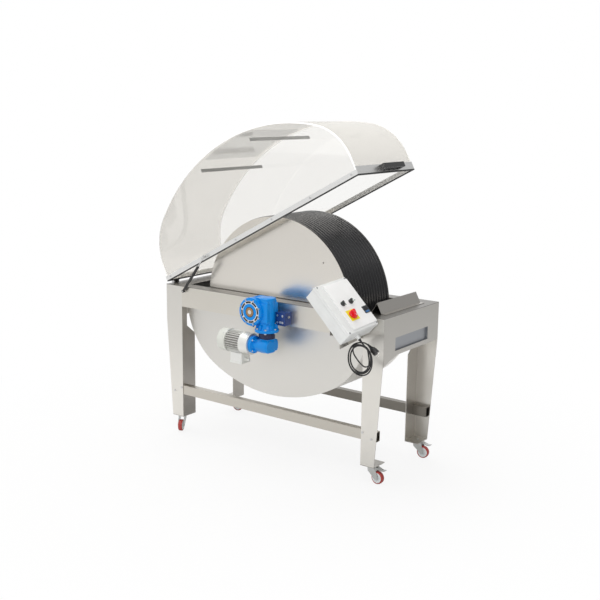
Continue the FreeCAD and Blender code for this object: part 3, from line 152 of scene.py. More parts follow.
def soft_box(name, place, aim, size, power):
    """One square lamp behind a diffuser, turned towards a point on the machine."""
    lamp = bpy.data.lights.new(name, "AREA")
    lamp.shape = "SQUARE"
    lamp.size = size
    lamp.energy = power
    lamp.color = (1.0, 0.985, 0.96)
    stand = bpy.data.objects.new(name, lamp)
    stand.location = place
    stand.rotation_euler = (Vector(aim) - Vector(place)).to_track_quat("-Z", "Y").to_euler()
    bpy.context.scene.collection.objects.link(stand)


soft_box("key_light", (3.2, -3.6, 4.6), (0, 0, 0.9), 2.6, 90)
soft_box("top_light", (-1.0, 0.6, 5.2), (0, 0, 0.6), 3.4, 125)

# ---------------------------------------------------------------- the machine's own axes
# Lengths are taken from the deck's front left corner, as the maker's drawing has them: along the
# machine, across it from the drive side, and up from the floor, in millimetres.
deck_low, deck_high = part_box("top_deck")


def at(along, across, height):
    """A point of the machine, in metres."""
    return Vector((deck_low.x + along / 1000, deck_low.y + across / 1000, height / 1000))


def finish_nodes(material, *names):
    """Gives CAD pieces their finish."""
    for name in names:
        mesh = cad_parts[name].data
        mesh.materials.clear()
        mesh.materials.append(material)


def add_piece(name, bm, material, body, slot, smooth=None):
    """Makes one piece of a mesh, with its finish, riding on a body of the machine."""
    mesh = bpy.data.meshes.new(name)
    bmesh.ops.recalc_face_normals(bm, faces=bm.faces)
    bm.to_mesh(mesh)
    bm.free()
    if smooth:
        mesh.shade_smooth()
        mesh.set_sharp_from_angle(angle=math.radians(smooth))
    mesh.materials.append(material)
    piece = bpy.data.objects.new(name, mesh)
    bpy.context.scene.collection.objects.link(piece)
    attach(piece, body)
    return piece


def drop_in(bm, part, matrix=None):
    """Adds a finished small mesh to a larger one."""
    if matrix:
        part.transform(matrix)
    holder = bpy.data.meshes.new("holder")
    part.to_mesh(holder)
    part.free()
    bm.from_mesh(holder)
    bpy.data.meshes.remove(holder)


def turned(bm, middle, axis, profile, around=48):
    """Turns a profile round an axis; it is a list of (millimetres along, millimetres of radius)."""
    axis = Vector(axis).normalized()
    side = axis.orthogonal().normalized()
    other = axis.cross(side)
    part = bmesh.new()
    rings = []
    for along, radius in profile:
        ring = []
        for step in range(around):
            angle = 2 * math.pi * step / around
            spoke = side * math.cos(angle) + other * math.sin(angle)
            ring.append(part.verts.new(middle + axis * along / 1000 + spoke * radius / 1000))
        rings.append(ring)
    for near, far in zip(rings, rings[1:]):
        for step in range(around):
            after = (step + 1) % around
            part.faces.new((near[step], near[after], far[after], far[step]))
    part.faces.new(rings[0])
    part.faces.new(rings[-1])
    drop_in(bm, part)


def rounded_slab(bm, low, high, edge, matrix=None, steps=3):
    """A block between two corners, in millimetres, with rounded edges."""
    part = bmesh.new()
    bmesh.ops.create_cube(part, size=1.0)
    for vert in part.verts:
        vert.co = Vector([(a + (c + 0.5) * (b - a)) / 1000 for c, a, b in zip(vert.co, low, high)])
    bmesh.ops.bevel(part, geom=list(part.edges), offset=edge / 1000, segments=steps, profile=0.6,
                    affect="EDGES", clamp_overlap=True)
    drop_in(bm, part, matrix)


def hex_screw(bm, middle, axis, across, height):
    """A hexagon head with a chamfered top; across is its width over the corners."""
    turned(bm, middle, axis, [(0, across / 2), (height * 0.8, across / 2), (height, across * 0.42)], around=6)


machine = Matrix.Translation(at(0, 0, 0))


# ---------------------------------------------------------------- mains cord
# A black rubber lead as thick as a pencil.  It leaves the box through a grey gland, hangs in a
# hank of four loose turns tied on itself, and ends in a moulded plug with two round pins.
cord_width = 0.008
coil_middle = at(1579, -130, 770)
coil_radius, coil_straight = 0.072, 0.018
cord_points = [at(1588.6, -155.2, 888.6), at(1614.1, -155.2, 863.2), at(1634.0, -140.0, 838.0)]
first_turns = [(22, 66, -10), (-130, 66, 7), (-330, 66.5, 7), (-420, 74, 0), (-702, 74.5, -3)]
crossing = [(74, -5, 8), (74, -7, -4), (70, -8, -18.5), (57.5, -9, -30.6), (41, -9, -35), (26, -9, -31.5),
            (2, -9, -14), (-22, -9, 10), (-36, -9, 29), (-41.5, -8, 46), (-37, -8, 63), (-25, -7, 75),
            (-7, -7, 80.5), (14, -6, 82.5)]
last_turn = [(-1018, 81, -6), (-1120, 83, -3), (-1240, 82, 8), (-1330, 80, 15)]


def coil_points(stations):
    """Points every 18 degrees round the hank, between stations of (angle, radius, depth)."""
    angle = stations[0][0]
    while angle >= stations[-1][0]:
        for near, far in zip(stations, stations[1:]):
            if far[0] <= angle <= near[0]:
                part = (near[0] - angle) / (near[0] - far[0])
                radius = near[1] * (1 - part) + far[1] * part + 1.2 * math.sin(angle / 31.0)
                depth = near[2] * (1 - part) + far[2] * part
        turn = math.radians(angle)
        lift = coil_straight / 2 * math.tanh(2.5 * math.sin(turn))
        yield coil_middle + Vector((radius * math.cos(turn) / 1000, depth / 1000,
                                    radius * math.sin(turn) / 1000 + lift))
        angle -= 18


plug_at = coil_middle + Vector((0.059, 0.033, 0.059))
plug_along = Vector((0.83, -0.05, -0.555)).normalized()
cord_points.extend(coil_points(first_turns))
cord_points.extend(coil_middle + Vector(spot) / 1000 for spot in crossing)
cord_points.extend(coil_points(last_turn))
cord_points.append(coil_middle + Vector((0.002, 0.026, 0.090)))
cord_points.append(plug_at - plug_along * 0.040)
cord_points.append(plug_at - plug_along * 0.012)

rubber, nodes, links, shader = new_material("cord_rubber")
shader.inputs["Base Color"].default_value = (0.018, 0.018, 0.019, 1)
shader.inputs["Roughness"].default_value = 0.42
skin = node_of(nodes, "ShaderNodeTexNoise", Scale=600.0, Detail=3.0)
relief = node_of(nodes, "ShaderNodeBump", Strength=0.15, Distance=0.0005)
links.new(skin.outputs["Fac"], relief.inputs["Height"])
links.new(relief.outputs["Normal"], shader.inputs["Normal"])

cord_curve = bpy.data.curves.new("mains_cord", "CURVE")
cord_curve.dimensions = "3D"
cord_curve.bevel_depth = cord_width / 2
cord_curve.bevel_resolution = 4
cord_curve.resolution_u = 8
line = cord_curve.splines.new("NURBS")
line.points.add(len(cord_points) - 1)
for point, place in zip(line.points, cord_points):
    point.co = (*place, 1)
line.order_u = 3
line.use_endpoint_u = True
cord_curve.materials.append(rubber)
mains_cord = bpy.data.objects.new("mains_cord", cord_curve)
bpy.context.scene.collection.objects.link(mains_cord)
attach(mains_cord, "frame")
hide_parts("cord_lead", "cord_coil")

plug_bm = bmesh.new()
turned(plug_bm, plug_at, plug_along, [(-40, 4.4), (-38, 5.6), (-33, 5.8), (-32, 4.8), (-29, 6.4), (-26, 6.6), (-25, 5.4),
                                      (-22, 7.4), (-18, 7.8), (-17, 6.2), (-14, 9), (-2, 14), (2, 17), (12, 18.6),
                                      (30, 19), (33.4, 18.2), (34, 16)])
plug_body = add_piece("plug_body", plug_bm, rubber, "frame", "cord_black", smooth=50)
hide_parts("cord_plug")
gland_relief = bmesh.new()
relief_along = cord_points[1] - cord_points[0]
turned(gland_relief, cord_points[0], relief_along, [(-3, 8.5), (4, 8.2), (6, 6.8), (10, 7.2), (12, 6.0), (16, 6.3), (18, 5.3),
                                                    (24, 5.4), (28, 4.4)])
add_piece("gland_relief", gland_relief, rubber, "frame", "cord_black", smooth=40)
pin_metal, nodes, links, shader = new_material("pin_metal")
shader.inputs["Base Color"].default_value = (0.74, 0.73, 0.70, 1)
shader.inputs["Metallic"].default_value = 1.0
shader.inputs["Roughness"].default_value = 0.25
plug_side = Vector((0, 0, 1)).rotation_difference(plug_along) @ Vector((1, 0, 0))
pins_bm = bmesh.new()
for offset in (-9.5, 9.5):
    turned(pins_bm, plug_at + plug_side * offset / 1000, plug_along, [(33, 2.4), (51.6, 2.4), (52.6, 2.0), (53, 1.2)], around=20)
plug_pins = add_piece("plug_pins", pins_bm, pin_metal, "frame", "cord_black", smooth=40)
cord_length = sum((b - a).length for a, b in zip(cord_points, cord_points[1:]))
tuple(cord_points[0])

# ---------------------------------------------------------------- folded frame
# Rails, legs, end panels, deck, stretchers and guard are folded from 3 mm stainless sheet and
# screwed together.  The sheet is brushed along its length, with a warm grey tone.


def brushed_steel(name, tone, roughness, stretch, spread=0.06, streak=0.05, fine=900.0, rear_shade=0.0,
                  flange_shade=0.0):
    """Stainless sheet with a fine grain: stretch is the scale of the grain along x, y and z.

    rear_shade darkens the sheet towards the rear, and flange_shade its faces turned towards +x:
    both are painted shade, for the shadow under the tank and between the legs and the tank."""
    material, nodes, links, shader = new_material(name)
    shader.inputs["Metallic"].default_value = 1.0
    place = node_of(nodes, "ShaderNodeTexCoord")
    grain_map = node_of(nodes, "ShaderNodeMapping")
    grain_map.inputs["Scale"].default_value = stretch
    links.new(place.outputs["Object"], grain_map.inputs["Vector"])
    grain = node_of(nodes, "ShaderNodeTexNoise", Scale=fine, Detail=4.0, Roughness=0.6)
    links.new(grain_map.outputs["Vector"], grain.inputs["Vector"])
    clouds = node_of(nodes, "ShaderNodeTexNoise", Scale=2.6, Detail=3.0, Roughness=0.55)
    links.new(place.outputs["Object"], clouds.inputs["Vector"])
    tint = node_of(nodes, "ShaderNodeMix", data_type="RGBA")
    tint.inputs["A"].default_value = (*[c * (1 - streak) for c in tone], 1)
    tint.inputs["B"].default_value = (*[min(1, c * (1 + streak)) for c in tone], 1)
    blend = node_of(nodes, "ShaderNodeMath", operation="ADD")
    links.new(grain.outputs["Fac"], blend.inputs[0])
    links.new(clouds.outputs["Fac"], blend.inputs[1])
    half = node_of(nodes, "ShaderNodeMath", operation="MULTIPLY")
    links.new(blend.outputs[0], half.inputs[0])
    half.inputs[1].default_value = 0.5
    links.new(half.outputs[0], tint.inputs["Factor"])
    # Painted shade: towards the rear (object y from -0.1 to 0.35 m) the tone is multiplied towards dark brown, by up to
    # rear_shade.
    depth = node_of(nodes, "ShaderNodeSeparateXYZ")
    links.new(place.outputs["Object"], depth.inputs[0])
    rear_shadow_amount = node_of(nodes, "ShaderNodeMapRange")
    rear_shadow_amount.inputs["From Min"].default_value = -0.1
    rear_shadow_amount.inputs["From Max"].default_value = 0.35
    rear_shadow_amount.inputs["To Min"].default_value = 0.0
    rear_shadow_amount.inputs["To Max"].default_value = rear_shade
    links.new(depth.outputs["Y"], rear_shadow_amount.inputs["Value"])
    shade = node_of(nodes, "ShaderNodeMix", data_type="RGBA", blend_type="MULTIPLY")
    shade.inputs["B"].default_value = (0.10, 0.09, 0.08, 1)
    links.new(rear_shadow_amount.outputs["Result"], shade.inputs["Factor"])
    links.new(tint.outputs["Result"], shade.inputs["A"])
    # Painted shade: faces turned towards +x are multiplied towards dark brown, by up to flange_shade; the multiply node
    # held in skin carries this shade, not a mill skin.
    lie = node_of(nodes, "ShaderNodeSeparateXYZ")
    links.new(place.outputs["Normal"], lie.inputs[0])
    flange_shadow_amount = node_of(nodes, "ShaderNodeMapRange")
    flange_shadow_amount.inputs["From Min"].default_value = 0.5
    flange_shadow_amount.inputs["From Max"].default_value = 0.9
    flange_shadow_amount.inputs["To Max"].default_value = flange_shade
    links.new(lie.outputs["X"], flange_shadow_amount.inputs["Value"])
    skin = node_of(nodes, "ShaderNodeMix", data_type="RGBA", blend_type="MULTIPLY")
    skin.inputs["B"].default_value = (0.12, 0.10, 0.09, 1)
    links.new(flange_shadow_amount.outputs["Result"], skin.inputs["Factor"])
    links.new(shade.outputs["Result"], skin.inputs["A"])
    links.new(skin.outputs["Result"], shader.inputs["Base Color"])
    rough = node_of(nodes, "ShaderNodeMapRange")
    rough.inputs["To Min"].default_value = roughness - spread
    rough.inputs["To Max"].default_value = roughness + spread
    links.new(blend.outputs[0], rough.inputs["Value"])
    rough.inputs["From Max"].default_value = 2.0
    links.new(rough.outputs["Result"], shader.inputs["Roughness"])
    relief = node_of(nodes, "ShaderNodeBump", Strength=0.12, Distance=0.0004)
    links.new(grain.outputs["Fac"], relief.inputs["Height"])
    links.new(relief.outputs["Normal"], shader.inputs["Normal"])
    return material


warm_steel = (0.76, 0.73, 0.665)
steel_along = brushed_steel("steel_brushed_along", warm_steel, 0.34, (0.02, 1, 1))
# flange_shade paints shade on the legs' faces turned towards +x.
steel_upright = brushed_steel("steel_brushed_upright", (0.80, 0.78, 0.735), 0.32, (1, 1, 0.02), flange_shade=0.55)
steel_across = brushed_steel("steel_brushed_across", (0.53, 0.515, 0.485), 0.30, (1, 0.02, 1))
finish_nodes(steel_along, "front_rail", "rear_rail")
# rear_shade paints the tank's shadow on the rear stretcher: the tube darkens towards the rear.
tube_steel = brushed_steel("stretcher_tube", (0.60, 0.57, 0.515), 0.34, (0.02, 1, 1), rear_shade=0.65)
finish_nodes(tube_steel, "stretchers")
guard_steel = brushed_steel("guard_sheet", (0.50, 0.48, 0.45), 0.30, (1, 0.02, 1))
finish_nodes(guard_steel, "drum_guard")
# Painted shade: the deck sheet gets a tone about a third of the frame's, for the shade and dark reflections it lies in
# under the drum.
deck_steel = brushed_steel("deck_sheet", (0.26, 0.25, 0.235), 0.32, (0.02, 1, 1))
finish_nodes(deck_steel, "top_deck")
finish_nodes(steel_upright, "legs_front", "legs_rear")
finish_nodes(steel_across, "end_panel_left", "end_panel_right", "foot_plates", "box_bracket")

recess_steel = brushed_steel("recess_plate", (0.39, 0.405, 0.43), 0.42, (1, 0.02, 1))
finish_nodes(recess_steel, "recess_tray")

bright_steel = brushed_steel("machined_steel", (0.66, 0.66, 0.66), 0.28, (1, 1, 1), fine=300.0)
finish_nodes(bright_steel, "frame_bolts", "drum_shaft", "hinge_blocks", "strut_rod", "hood_screws", "drive_bolts")

# ---------------------------------------------------------------- tank
# Two flat side plates with a rolled shell welded between them, in 2 mm stainless sheet as it
# comes from the mill, so it mirrors more softly than the frame.
tank_steel = brushed_steel("tank_sheet", (0.765, 0.75, 0.715), 0.40, (0.05, 1, 1), spread=0.05, streak=0.03)
finish_nodes(tank_steel, "tank_shell", "tank_sides")

# ---------------------------------------------------------------- drum
# Two polished side discs, and between them a black rubber sleeve with ribs moulded round it.
disc_steel = brushed_steel("polished_disc", (0.93, 0.89, 0.825), 0.24, (0.2, 1, 1), spread=0.03, streak=0.02)
finish_nodes(disc_steel, "drum_disc_front", "drum_disc_rear", "drum_shell")

sleeve_rubber, nodes, links, shader = new_material("sleeve_rubber")
shader.inputs["Base Color"].default_value = (0.016, 0.016, 0.018, 1)
place = node_of(nodes, "ShaderNodeTexCoord")
film = node_of(nodes, "ShaderNodeTexNoise", Scale=7.0, Detail=4.0)
links.new(place.outputs["Object"], film.inputs["Vector"])
rough = node_of(nodes, "ShaderNodeMapRange")
rough.inputs["To Min"].default_value = 0.16
rough.inputs["To Max"].default_value = 0.30
links.new(film.outputs["Fac"], rough.inputs["Value"])
links.new(rough.outputs["Result"], shader.inputs["Roughness"])
grit = node_of(nodes, "ShaderNodeTexNoise", Scale=420.0, Detail=2.0)
links.new(place.outputs["Object"], grit.inputs["Vector"])
relief = node_of(nodes, "ShaderNodeBump", Strength=0.1, Distance=0.0006)
links.new(grit.outputs["Fac"], relief.inputs["Height"])
links.new(relief.outputs["Normal"], shader.inputs["Normal"])
finish_nodes(sleeve_rubber, "ribbed_sleeve")

# ---------------------------------------------------------------- gearboxes and torque arm
# Two worm gearboxes in cast iron, sprayed with a bright blue gloss enamel over the casting skin;
# the arm that keeps them from turning is dark blue.


def enamel(name, tone, roughness, orange_peel=0.25, scale=160.0, specular=0.5):
    """Sprayed paint: a clear coat, a slight change of tone and the skin of the casting below."""
    material, nodes, links, shader = new_material(name)
    shader.inputs["Roughness"].default_value = roughness
    shader.inputs["Specular IOR Level"].default_value = specular
    shader.inputs["Coat Weight"].default_value = specular * 0.6
    shader.inputs["Coat Roughness"].default_value = 0.12
    place = node_of(nodes, "ShaderNodeTexCoord")
    clouds = node_of(nodes, "ShaderNodeTexNoise", Scale=9.0, Detail=4.0)
    links.new(place.outputs["Object"], clouds.inputs["Vector"])
    tint = node_of(nodes, "ShaderNodeMix", data_type="RGBA")
    tint.inputs["A"].default_value = (*[c * 0.86 for c in tone], 1)
    tint.inputs["B"].default_value = (*[min(1, c * 1.1) for c in tone], 1)
    links.new(clouds.outputs["Fac"], tint.inputs["Factor"])
    links.new(tint.outputs["Result"], shader.inputs["Base Color"])
    skin = node_of(nodes, "ShaderNodeTexNoise", Scale=scale, Detail=3.0)
    links.new(place.outputs["Object"], skin.inputs["Vector"])
    relief = node_of(nodes, "ShaderNodeBump", Strength=orange_peel, Distance=0.001)
    links.new(skin.outputs["Fac"], relief.inputs["Height"])
    links.new(relief.outputs["Normal"], shader.inputs["Normal"])
    return material


gear_blue = enamel("gear_enamel", (0.0, 0.27, 0.80), 0.34, specular=0.25)
arm_blue = enamel("arm_enamel", (0.003, 0.035, 0.19), 0.42)
# Painted shade: a near-black navy finish for the collar in the gap between the two gearboxes.
neck_painted_shade = enamel("neck_painted_shade", (0.001, 0.008, 0.06), 0.5, orange_peel=0.1)
bearing_grey = enamel("bearing_enamel", (0.42, 0.43, 0.43), 0.5)
finish_nodes(bearing_grey, "shaft_bearings")
ring_metal = brushed_steel("turned_ring", (0.78, 0.77, 0.75), 0.30, (1, 1, 1), fine=400.0)
slot_dark = enamel("slot_shadow", (0.006, 0.007, 0.012), 0.6, orange_peel=0.0)
shaft_rust = brushed_steel("shaft_film", (0.42, 0.27, 0.15), 0.42, (1, 1, 1), spread=0.12, streak=0.35, fine=120.0)
forward, upward, onward = Vector((0, -1, 0)), Vector((0, 0, 1)), Vector((1, 0, 0))
axle = at(825, 0, 932)

case = bmesh.new()
turned(case, axle, forward, [(28, 62), (36, 66), (40, 80), (44, 84), (62, 84), (66, 79), (112, 79), (117, 84),
                             (146, 84), (148, 82.5)], around=72)
for step in range(16):
    spin = Matrix.Rotation(2 * math.pi * (step + 0.5) / 16, 4, "Y")
    rounded_slab(case, (-3, -114, 70), (3, -64, 83.4), 2, Matrix.Translation(axle) @ spin, steps=2)
rounded_slab(case, (828, -132, 862), (938, -38, 1008), 13, machine)
rounded_slab(case, (862, -138, 874), (940, -34, 988), 5, machine)
rounded_slab(case, (842, -126, 1004), (934, -46, 1017.5), 4, machine)
turned(case, at(900, -88, 0), upward, [(832, 60), (838, 56), (850, 49), (866, 46), (990, 46), (1004, 49), (1016, 49),
                                       (1018, 46)], around=48)
turned(case, at(900, -88, 0), upward, [(815, 69), (817, 72), (829, 72), (832, 69.5)], around=64)
for step in range(6):
    spin = Matrix.Rotation(math.radians(30 + 60 * step), 4, "Z")
    rounded_slab(case, (40, -3.5, 830), (66, 3.5, 862), 3, Matrix.Translation(at(900, -88, 0)) @ spin, steps=2)
gearbox = add_piece("gearbox_case", case, gear_blue, "frame", "gear_blue", smooth=35)
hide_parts("gearbox_upper")

cover = bmesh.new()
turned(cover, axle, forward, [(147, 79), (153.4, 81), (154.6, 79.6), (155, 78)], around=72)
output_cover = add_piece("output_flange", cover, gear_blue, "frame", "gear_blue", smooth=35)
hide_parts("output_cover")
for name, material, slot, low, high, radius in (
        ("outer_ring", ring_metal, "steel_fittings", 154, 156.4, 67), ("slot_ring", slot_dark, "gear_blue", 155, 156.8, 64),
        ("inner_ring", ring_metal, "steel_fittings", 155, 157.4, 53.5), ("boss_ring", gear_blue, "gear_blue", 155, 157.9, 49.5),
        ("bore_shadow", slot_dark, "gear_blue", 155, 158.1, 31), ("shaft_end", shaft_rust, "steel_fittings", 155, 158.6, 27),
        ("end_washer", ring_metal, "steel_fittings", 155, 158.9, 13)):
    layer = bmesh.new()
    turned(layer, axle, forward, [(low, radius), (high - 0.4, radius), (high, radius - 0.5)], around=72)
    add_piece(name, layer, material, "frame", slot, smooth=35)
bridges, face_screws = bmesh.new(), bmesh.new()
for step in range(8):
    spin = Matrix.Translation(axle) @ Matrix.Rotation(math.pi * (step + 0.25) / 4, 4, "Y")
    rounded_slab(bridges, (-4.5, -157.2, 53), (4.5, -155, 65), 0.5, spin, steps=1)
    spot = axle + Matrix.Rotation(math.pi * (step + 0.5) / 4, 3, "Y") @ Vector((0, 0, 0.0745))
    hex_screw(face_screws, spot + forward * 0.1545, forward, 9, 3.6)
add_piece("slot_bridges", bridges, ring_metal, "frame", "steel_fittings")
for step in range(6):
    angle = math.radians(60 * step)
    spot = at(900 + 61 * math.cos(angle), -88 + 61 * math.sin(angle), 832)
    hex_screw(face_screws, spot, upward, 15, 7)
    hex_screw(face_screws, spot - upward * 0.017, -upward, 15, 7)
add_piece("drive_screws", face_screws, bright_steel, "frame", "steel_fittings")

low_case = bmesh.new()
turned(low_case, at(900, -88, 0), upward, [(693, 44), (696, 49), (702, 52), (764, 52), (770, 50), (775, 46)], around=56)
turned(low_case, at(900, -88, 0), upward, [(774, 34), (798, 34), (806, 44), (814.5, 44)], around=40)
rounded_slab(low_case, (852, -138, 699), (950, -42, 769), 12, machine)
rounded_slab(low_case, (880, -150, 712), (953, -46, 757), 6, machine)
turned(low_case, at(0, -128, 734), onward, [(848, 44), (852, 36), (866, 34), (876, 38), (948, 38), (951, 35), (958, 34)])
turned(low_case, at(0, -128, 734), onward, [(826, 50), (828, 52), (845, 52), (848, 49.5)], around=56)
for step in range(4):
    spin = Matrix.Translation(at(0, -128, 734)) @ Matrix.Rotation(math.radians(45 + 90 * step), 4, "X")
    rounded_slab(low_case, (846, -3, 30), (874, 3, 48), 2.5, spin, steps=2)
low_box = add_piece("lower_case", low_case, gear_blue, "frame", "gear_blue", smooth=35)
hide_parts("gearbox_lower")
# A near-black collar in the neck's gap: painted shade, for the shadow between the two gearboxes.
neck = bmesh.new()
turned(neck, at(900, -88, 0), upward, [(775.5, 47), (777, 49), (808, 49), (810, 47)], around=48)
add_piece("neck_gap", neck, neck_painted_shade, "frame", "gear_blue", smooth=35)
low_screws = bmesh.new()
for step in range(4):
    angle = math.radians(45 + 90 * step)
    spot = at(826, -128 + 44.5 * math.cos(angle), 734 + 44.5 * math.sin(angle))
    hex_screw(low_screws, spot + onward * 0.022, onward, 12, 6)
for across, height in ((-140, 716), (-140, 752), (-116, 716), (-116, 752)):
    hex_screw(low_screws, at(951.5, across, height), onward, 8, 4)
add_piece("lower_screws", low_screws, bright_steel, "frame", "steel_fittings")

arm = bmesh.new()
rounded_slab(arm, (940.5, -61.5, 855.5), (1013.5, -55, 934.5), 2.5, machine)
rounded_slab(arm, (1006, -61, 856), (1013.5, 0, 934), 2.5, machine)
rounded_slab(arm, (940.5, -61, 858), (1010, -2, 865), 2, machine)
rounded_slab(arm, (940.5, -61, 925), (1010, -2, 932), 2, machine)
torque_arm = add_piece("torque_bracket", arm, arm_blue, "frame", "arm_navy", smooth=35)
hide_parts("torque_arm")
arm_screws = bmesh.new()
for along, height in ((958, 875), (996, 875), (958, 915), (996, 915)):
    hex_screw(arm_screws, at(along, -61.5, height), forward, 13, 6)
add_piece("bracket_screws", arm_screws, bright_steel, "frame", "steel_fittings")

# ---------------------------------------------------------------- motor
# A finned aluminium motor, flanged to the lower gearbox, with a pressed fan cover.
cast_alloy = brushed_steel("cast_alloy", (0.86, 0.865, 0.84), 0.48, (1, 1, 1), spread=0.1, streak=0.10, fine=260.0)
cover_paint = enamel("fan_cover_grey", (0.74, 0.755, 0.70), 0.42, orange_peel=0.1, scale=400.0)
fin_shadow = enamel("fin_root", (0.26, 0.25, 0.235), 0.6, orange_peel=0.1)
spindle = at(0, -128, 734)
motor = bmesh.new()
turned(motor, spindle, onward, [(757, 60), (762, 66), (770, 66), (780, 64), (812, 60), (818, 64), (825, 64), (826, 62)], around=56)
for step in range(30):
    spin = Matrix.Translation(spindle) @ Matrix.Rotation(2 * math.pi * (step + 0.5) / 30, 4, "X")
    rounded_slab(motor, (659, -1.5, 55), (764, 1.5, 68), 1.2, spin, steps=2)
rounded_slab(motor, (684, -168, 612), (772, -88, 676), 5, machine)
rounded_slab(motor, (682, -170, 608), (774, -86, 622), 4, machine)
turned(motor, at(0, -128, 634), onward, [(770, 13), (778, 13), (779, 10.5), (800, 10.5), (801, 8)], around=6)
motor_body = add_piece("motor_frame", motor, cast_alloy, "frame", "motor_alu", smooth=35)
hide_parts("motor_body")
root = bmesh.new()
turned(root, spindle, onward, [(656, 58), (658, 59.5), (762, 59.5), (764, 58)], around=48)
add_piece("motor_core", root, fin_shadow, "frame", "motor_alu", smooth=35)
fan = bmesh.new()
turned(fan, spindle, -onward, [(-657, 69), (-655, 70), (-612, 70), (-602, 68), (-597, 62), (-595.5, 50), (-595, 30)], around=64)
fan_cover = add_piece("fan_cowl", fan, cover_paint, "frame", "motor_alu", smooth=35)
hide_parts("fan_cover")
grille = bmesh.new()
for ring_radius in (18, 28, 38, 48):
    for step in range(int(ring_radius / 2)):
        angle = 4 * math.pi * step / ring_radius
        spot = spindle + Vector((0.5961 if ring_radius > 40 else 0.5953, 0, 0)) - onward * 0.0001
        spot = spot + Vector((0, math.cos(angle), math.sin(angle))) * ring_radius / 1000
        turned(grille, spot, -onward, [(-0.4, 2.6), (0.1, 2.4)], around=10)
add_piece("cowl_holes", grille, slot_dark, "frame", "motor_alu")
motor_screws = bmesh.new()
for step in range(4):
    angle = math.radians(45 + 90 * step)
    spot = spindle + Vector((0.640, 0.0695 * math.cos(angle), 0.0695 * math.sin(angle)))
    hex_screw(motor_screws, spot, Vector((0, math.cos(angle), math.sin(angle))), 7, 3)
add_piece("motor_screws", motor_screws, bright_steel, "frame", "steel_fittings")

# ---------------------------------------------------------------- control box
# A grey-white plastic box tilted towards the operator: red main switch on its yellow plate, two
# black selectors and a small display.
box_shell = enamel("box_shell", (0.82, 0.835, 0.83), 0.45, orange_peel=0.08, scale=500.0)
finish_nodes(box_shell, "cord_gland")
box_white = enamel("box_cover", (0.97, 0.975, 0.97), 0.38, orange_peel=0.06, scale=500.0)
lid_grey = enamel("lid_margin", (0.83, 0.84, 0.835), 0.42, orange_peel=0.06, scale=500.0)
screw_grey = enamel("screw_caps", (0.30, 0.31, 0.32), 0.4, orange_peel=0.0)
finish_nodes(screw_grey, "box_screws")
plate_yellow = enamel("switch_yellow", (1.0, 0.80, 0.01), 0.35, orange_peel=0.0)
finish_nodes(plate_yellow, "switch_plate")
knob_red = enamel("switch_red", (0.80, 0.008, 0.02), 0.3, orange_peel=0.0)
knob_black = enamel("selector_black", (0.035, 0.04, 0.04), 0.32, orange_peel=0.0)
mark_green = enamel("mark_green", (0.02, 0.22, 0.09), 0.5, orange_peel=0.0)
mark_white = enamel("mark_white", (0.85, 0.85, 0.85), 0.5, orange_peel=0.0)
display_blue = enamel("display_blue", (0.03, 0.14, 0.36), 0.2, orange_peel=0.0)
box_axes = Matrix((
    (0.70710678, 0.09843238, 0.70021, 0), (0, 0.99026367, -0.1392, 0), (-0.70710678, 0.09843238, 0.70021, 0), (0, 0, 0, 1)))
box_frame = Matrix.Translation(at(1370, -267, 1165)) @ box_axes
lid_bm = bmesh.new()
rounded_slab(lid_bm, (-2, -2, -24), (328, 252, -13), 3, box_frame)
rounded_slab(lid_bm, (0, 0, -15), (326, 250, 0), 5, box_frame, steps=4)
lid = add_piece("lid_shell", lid_bm, lid_grey, "frame", "box_white", smooth=40)
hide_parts("box_lid")
field_bm = bmesh.new()
rounded_slab(field_bm, (16, 48, -2), (310, 249, 6), 3, box_frame, steps=4)
add_piece("lid_field", field_bm, box_white, "frame", "box_white", smooth=40)
base_bm = bmesh.new()
rounded_slab(base_bm, (0, 0, -100), (326, 250, -24.5), 5, box_frame, steps=4)
rounded_slab(base_bm, (20, -0.8, -84), (306, 2, -40), 1, box_frame, steps=2)
base = add_piece("box_shell_base", base_bm, box_shell, "frame", "box_grey", smooth=40)
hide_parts("box_base")
window_bm = bmesh.new()
rounded_slab(window_bm, (203, 204, 5), (249, 247, 8.6), 1.5, box_frame)
window = add_piece("display_bezel", window_bm, knob_black, "frame", "display_black", smooth=40)
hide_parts("display_window")
glass_bm = bmesh.new()
rounded_slab(glass_bm, (207, 209, 8), (232, 242, 9.4), 0.6, box_frame, steps=2)
add_piece("display_glass", glass_bm, slot_dark, "frame", "display_black", smooth=40)
lit_bm = bmesh.new()
rounded_slab(lit_bm, (234, 210, 8), (245, 241, 9.2), 0.5, box_frame, steps=2)
add_piece("display_keys", lit_bm, display_blue, "frame", "display_black", smooth=40)

out_of_box = Vector((0.70021, -0.1392, 0.70021))
red_bm = bmesh.new()
turned(red_bm, box_frame @ Vector((0.229, 0.108, 0.0083)), out_of_box,
       [(0, 24), (1.5, 25.5), (8, 25), (10.5, 22.5), (11, 16)], around=48)
rounded_slab(red_bm, (-24, -7.5, 9), (24, 7.5, 26), 4, box_frame @ Matrix.Translation((0.229, 0.108, 0.0083))
             @ Matrix.Rotation(math.radians(-20), 4, "Z"), steps=4)
red_knob = add_piece("main_switch_grip", red_bm, knob_red, "main_switch_knob", "knob_red", smooth=40)
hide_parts("main_switch")
index_bm = bmesh.new()
rounded_slab(index_bm, (6, -1.2, 25.8), (21, 1.2, 26.6), 0.3, box_frame @ Matrix.Translation((0.229, 0.108, 0.0083))
             @ Matrix.Rotation(math.radians(-20), 4, "Z"), steps=1)
add_piece("main_switch_mark", index_bm, mark_white, "main_switch_knob", "knob_red")
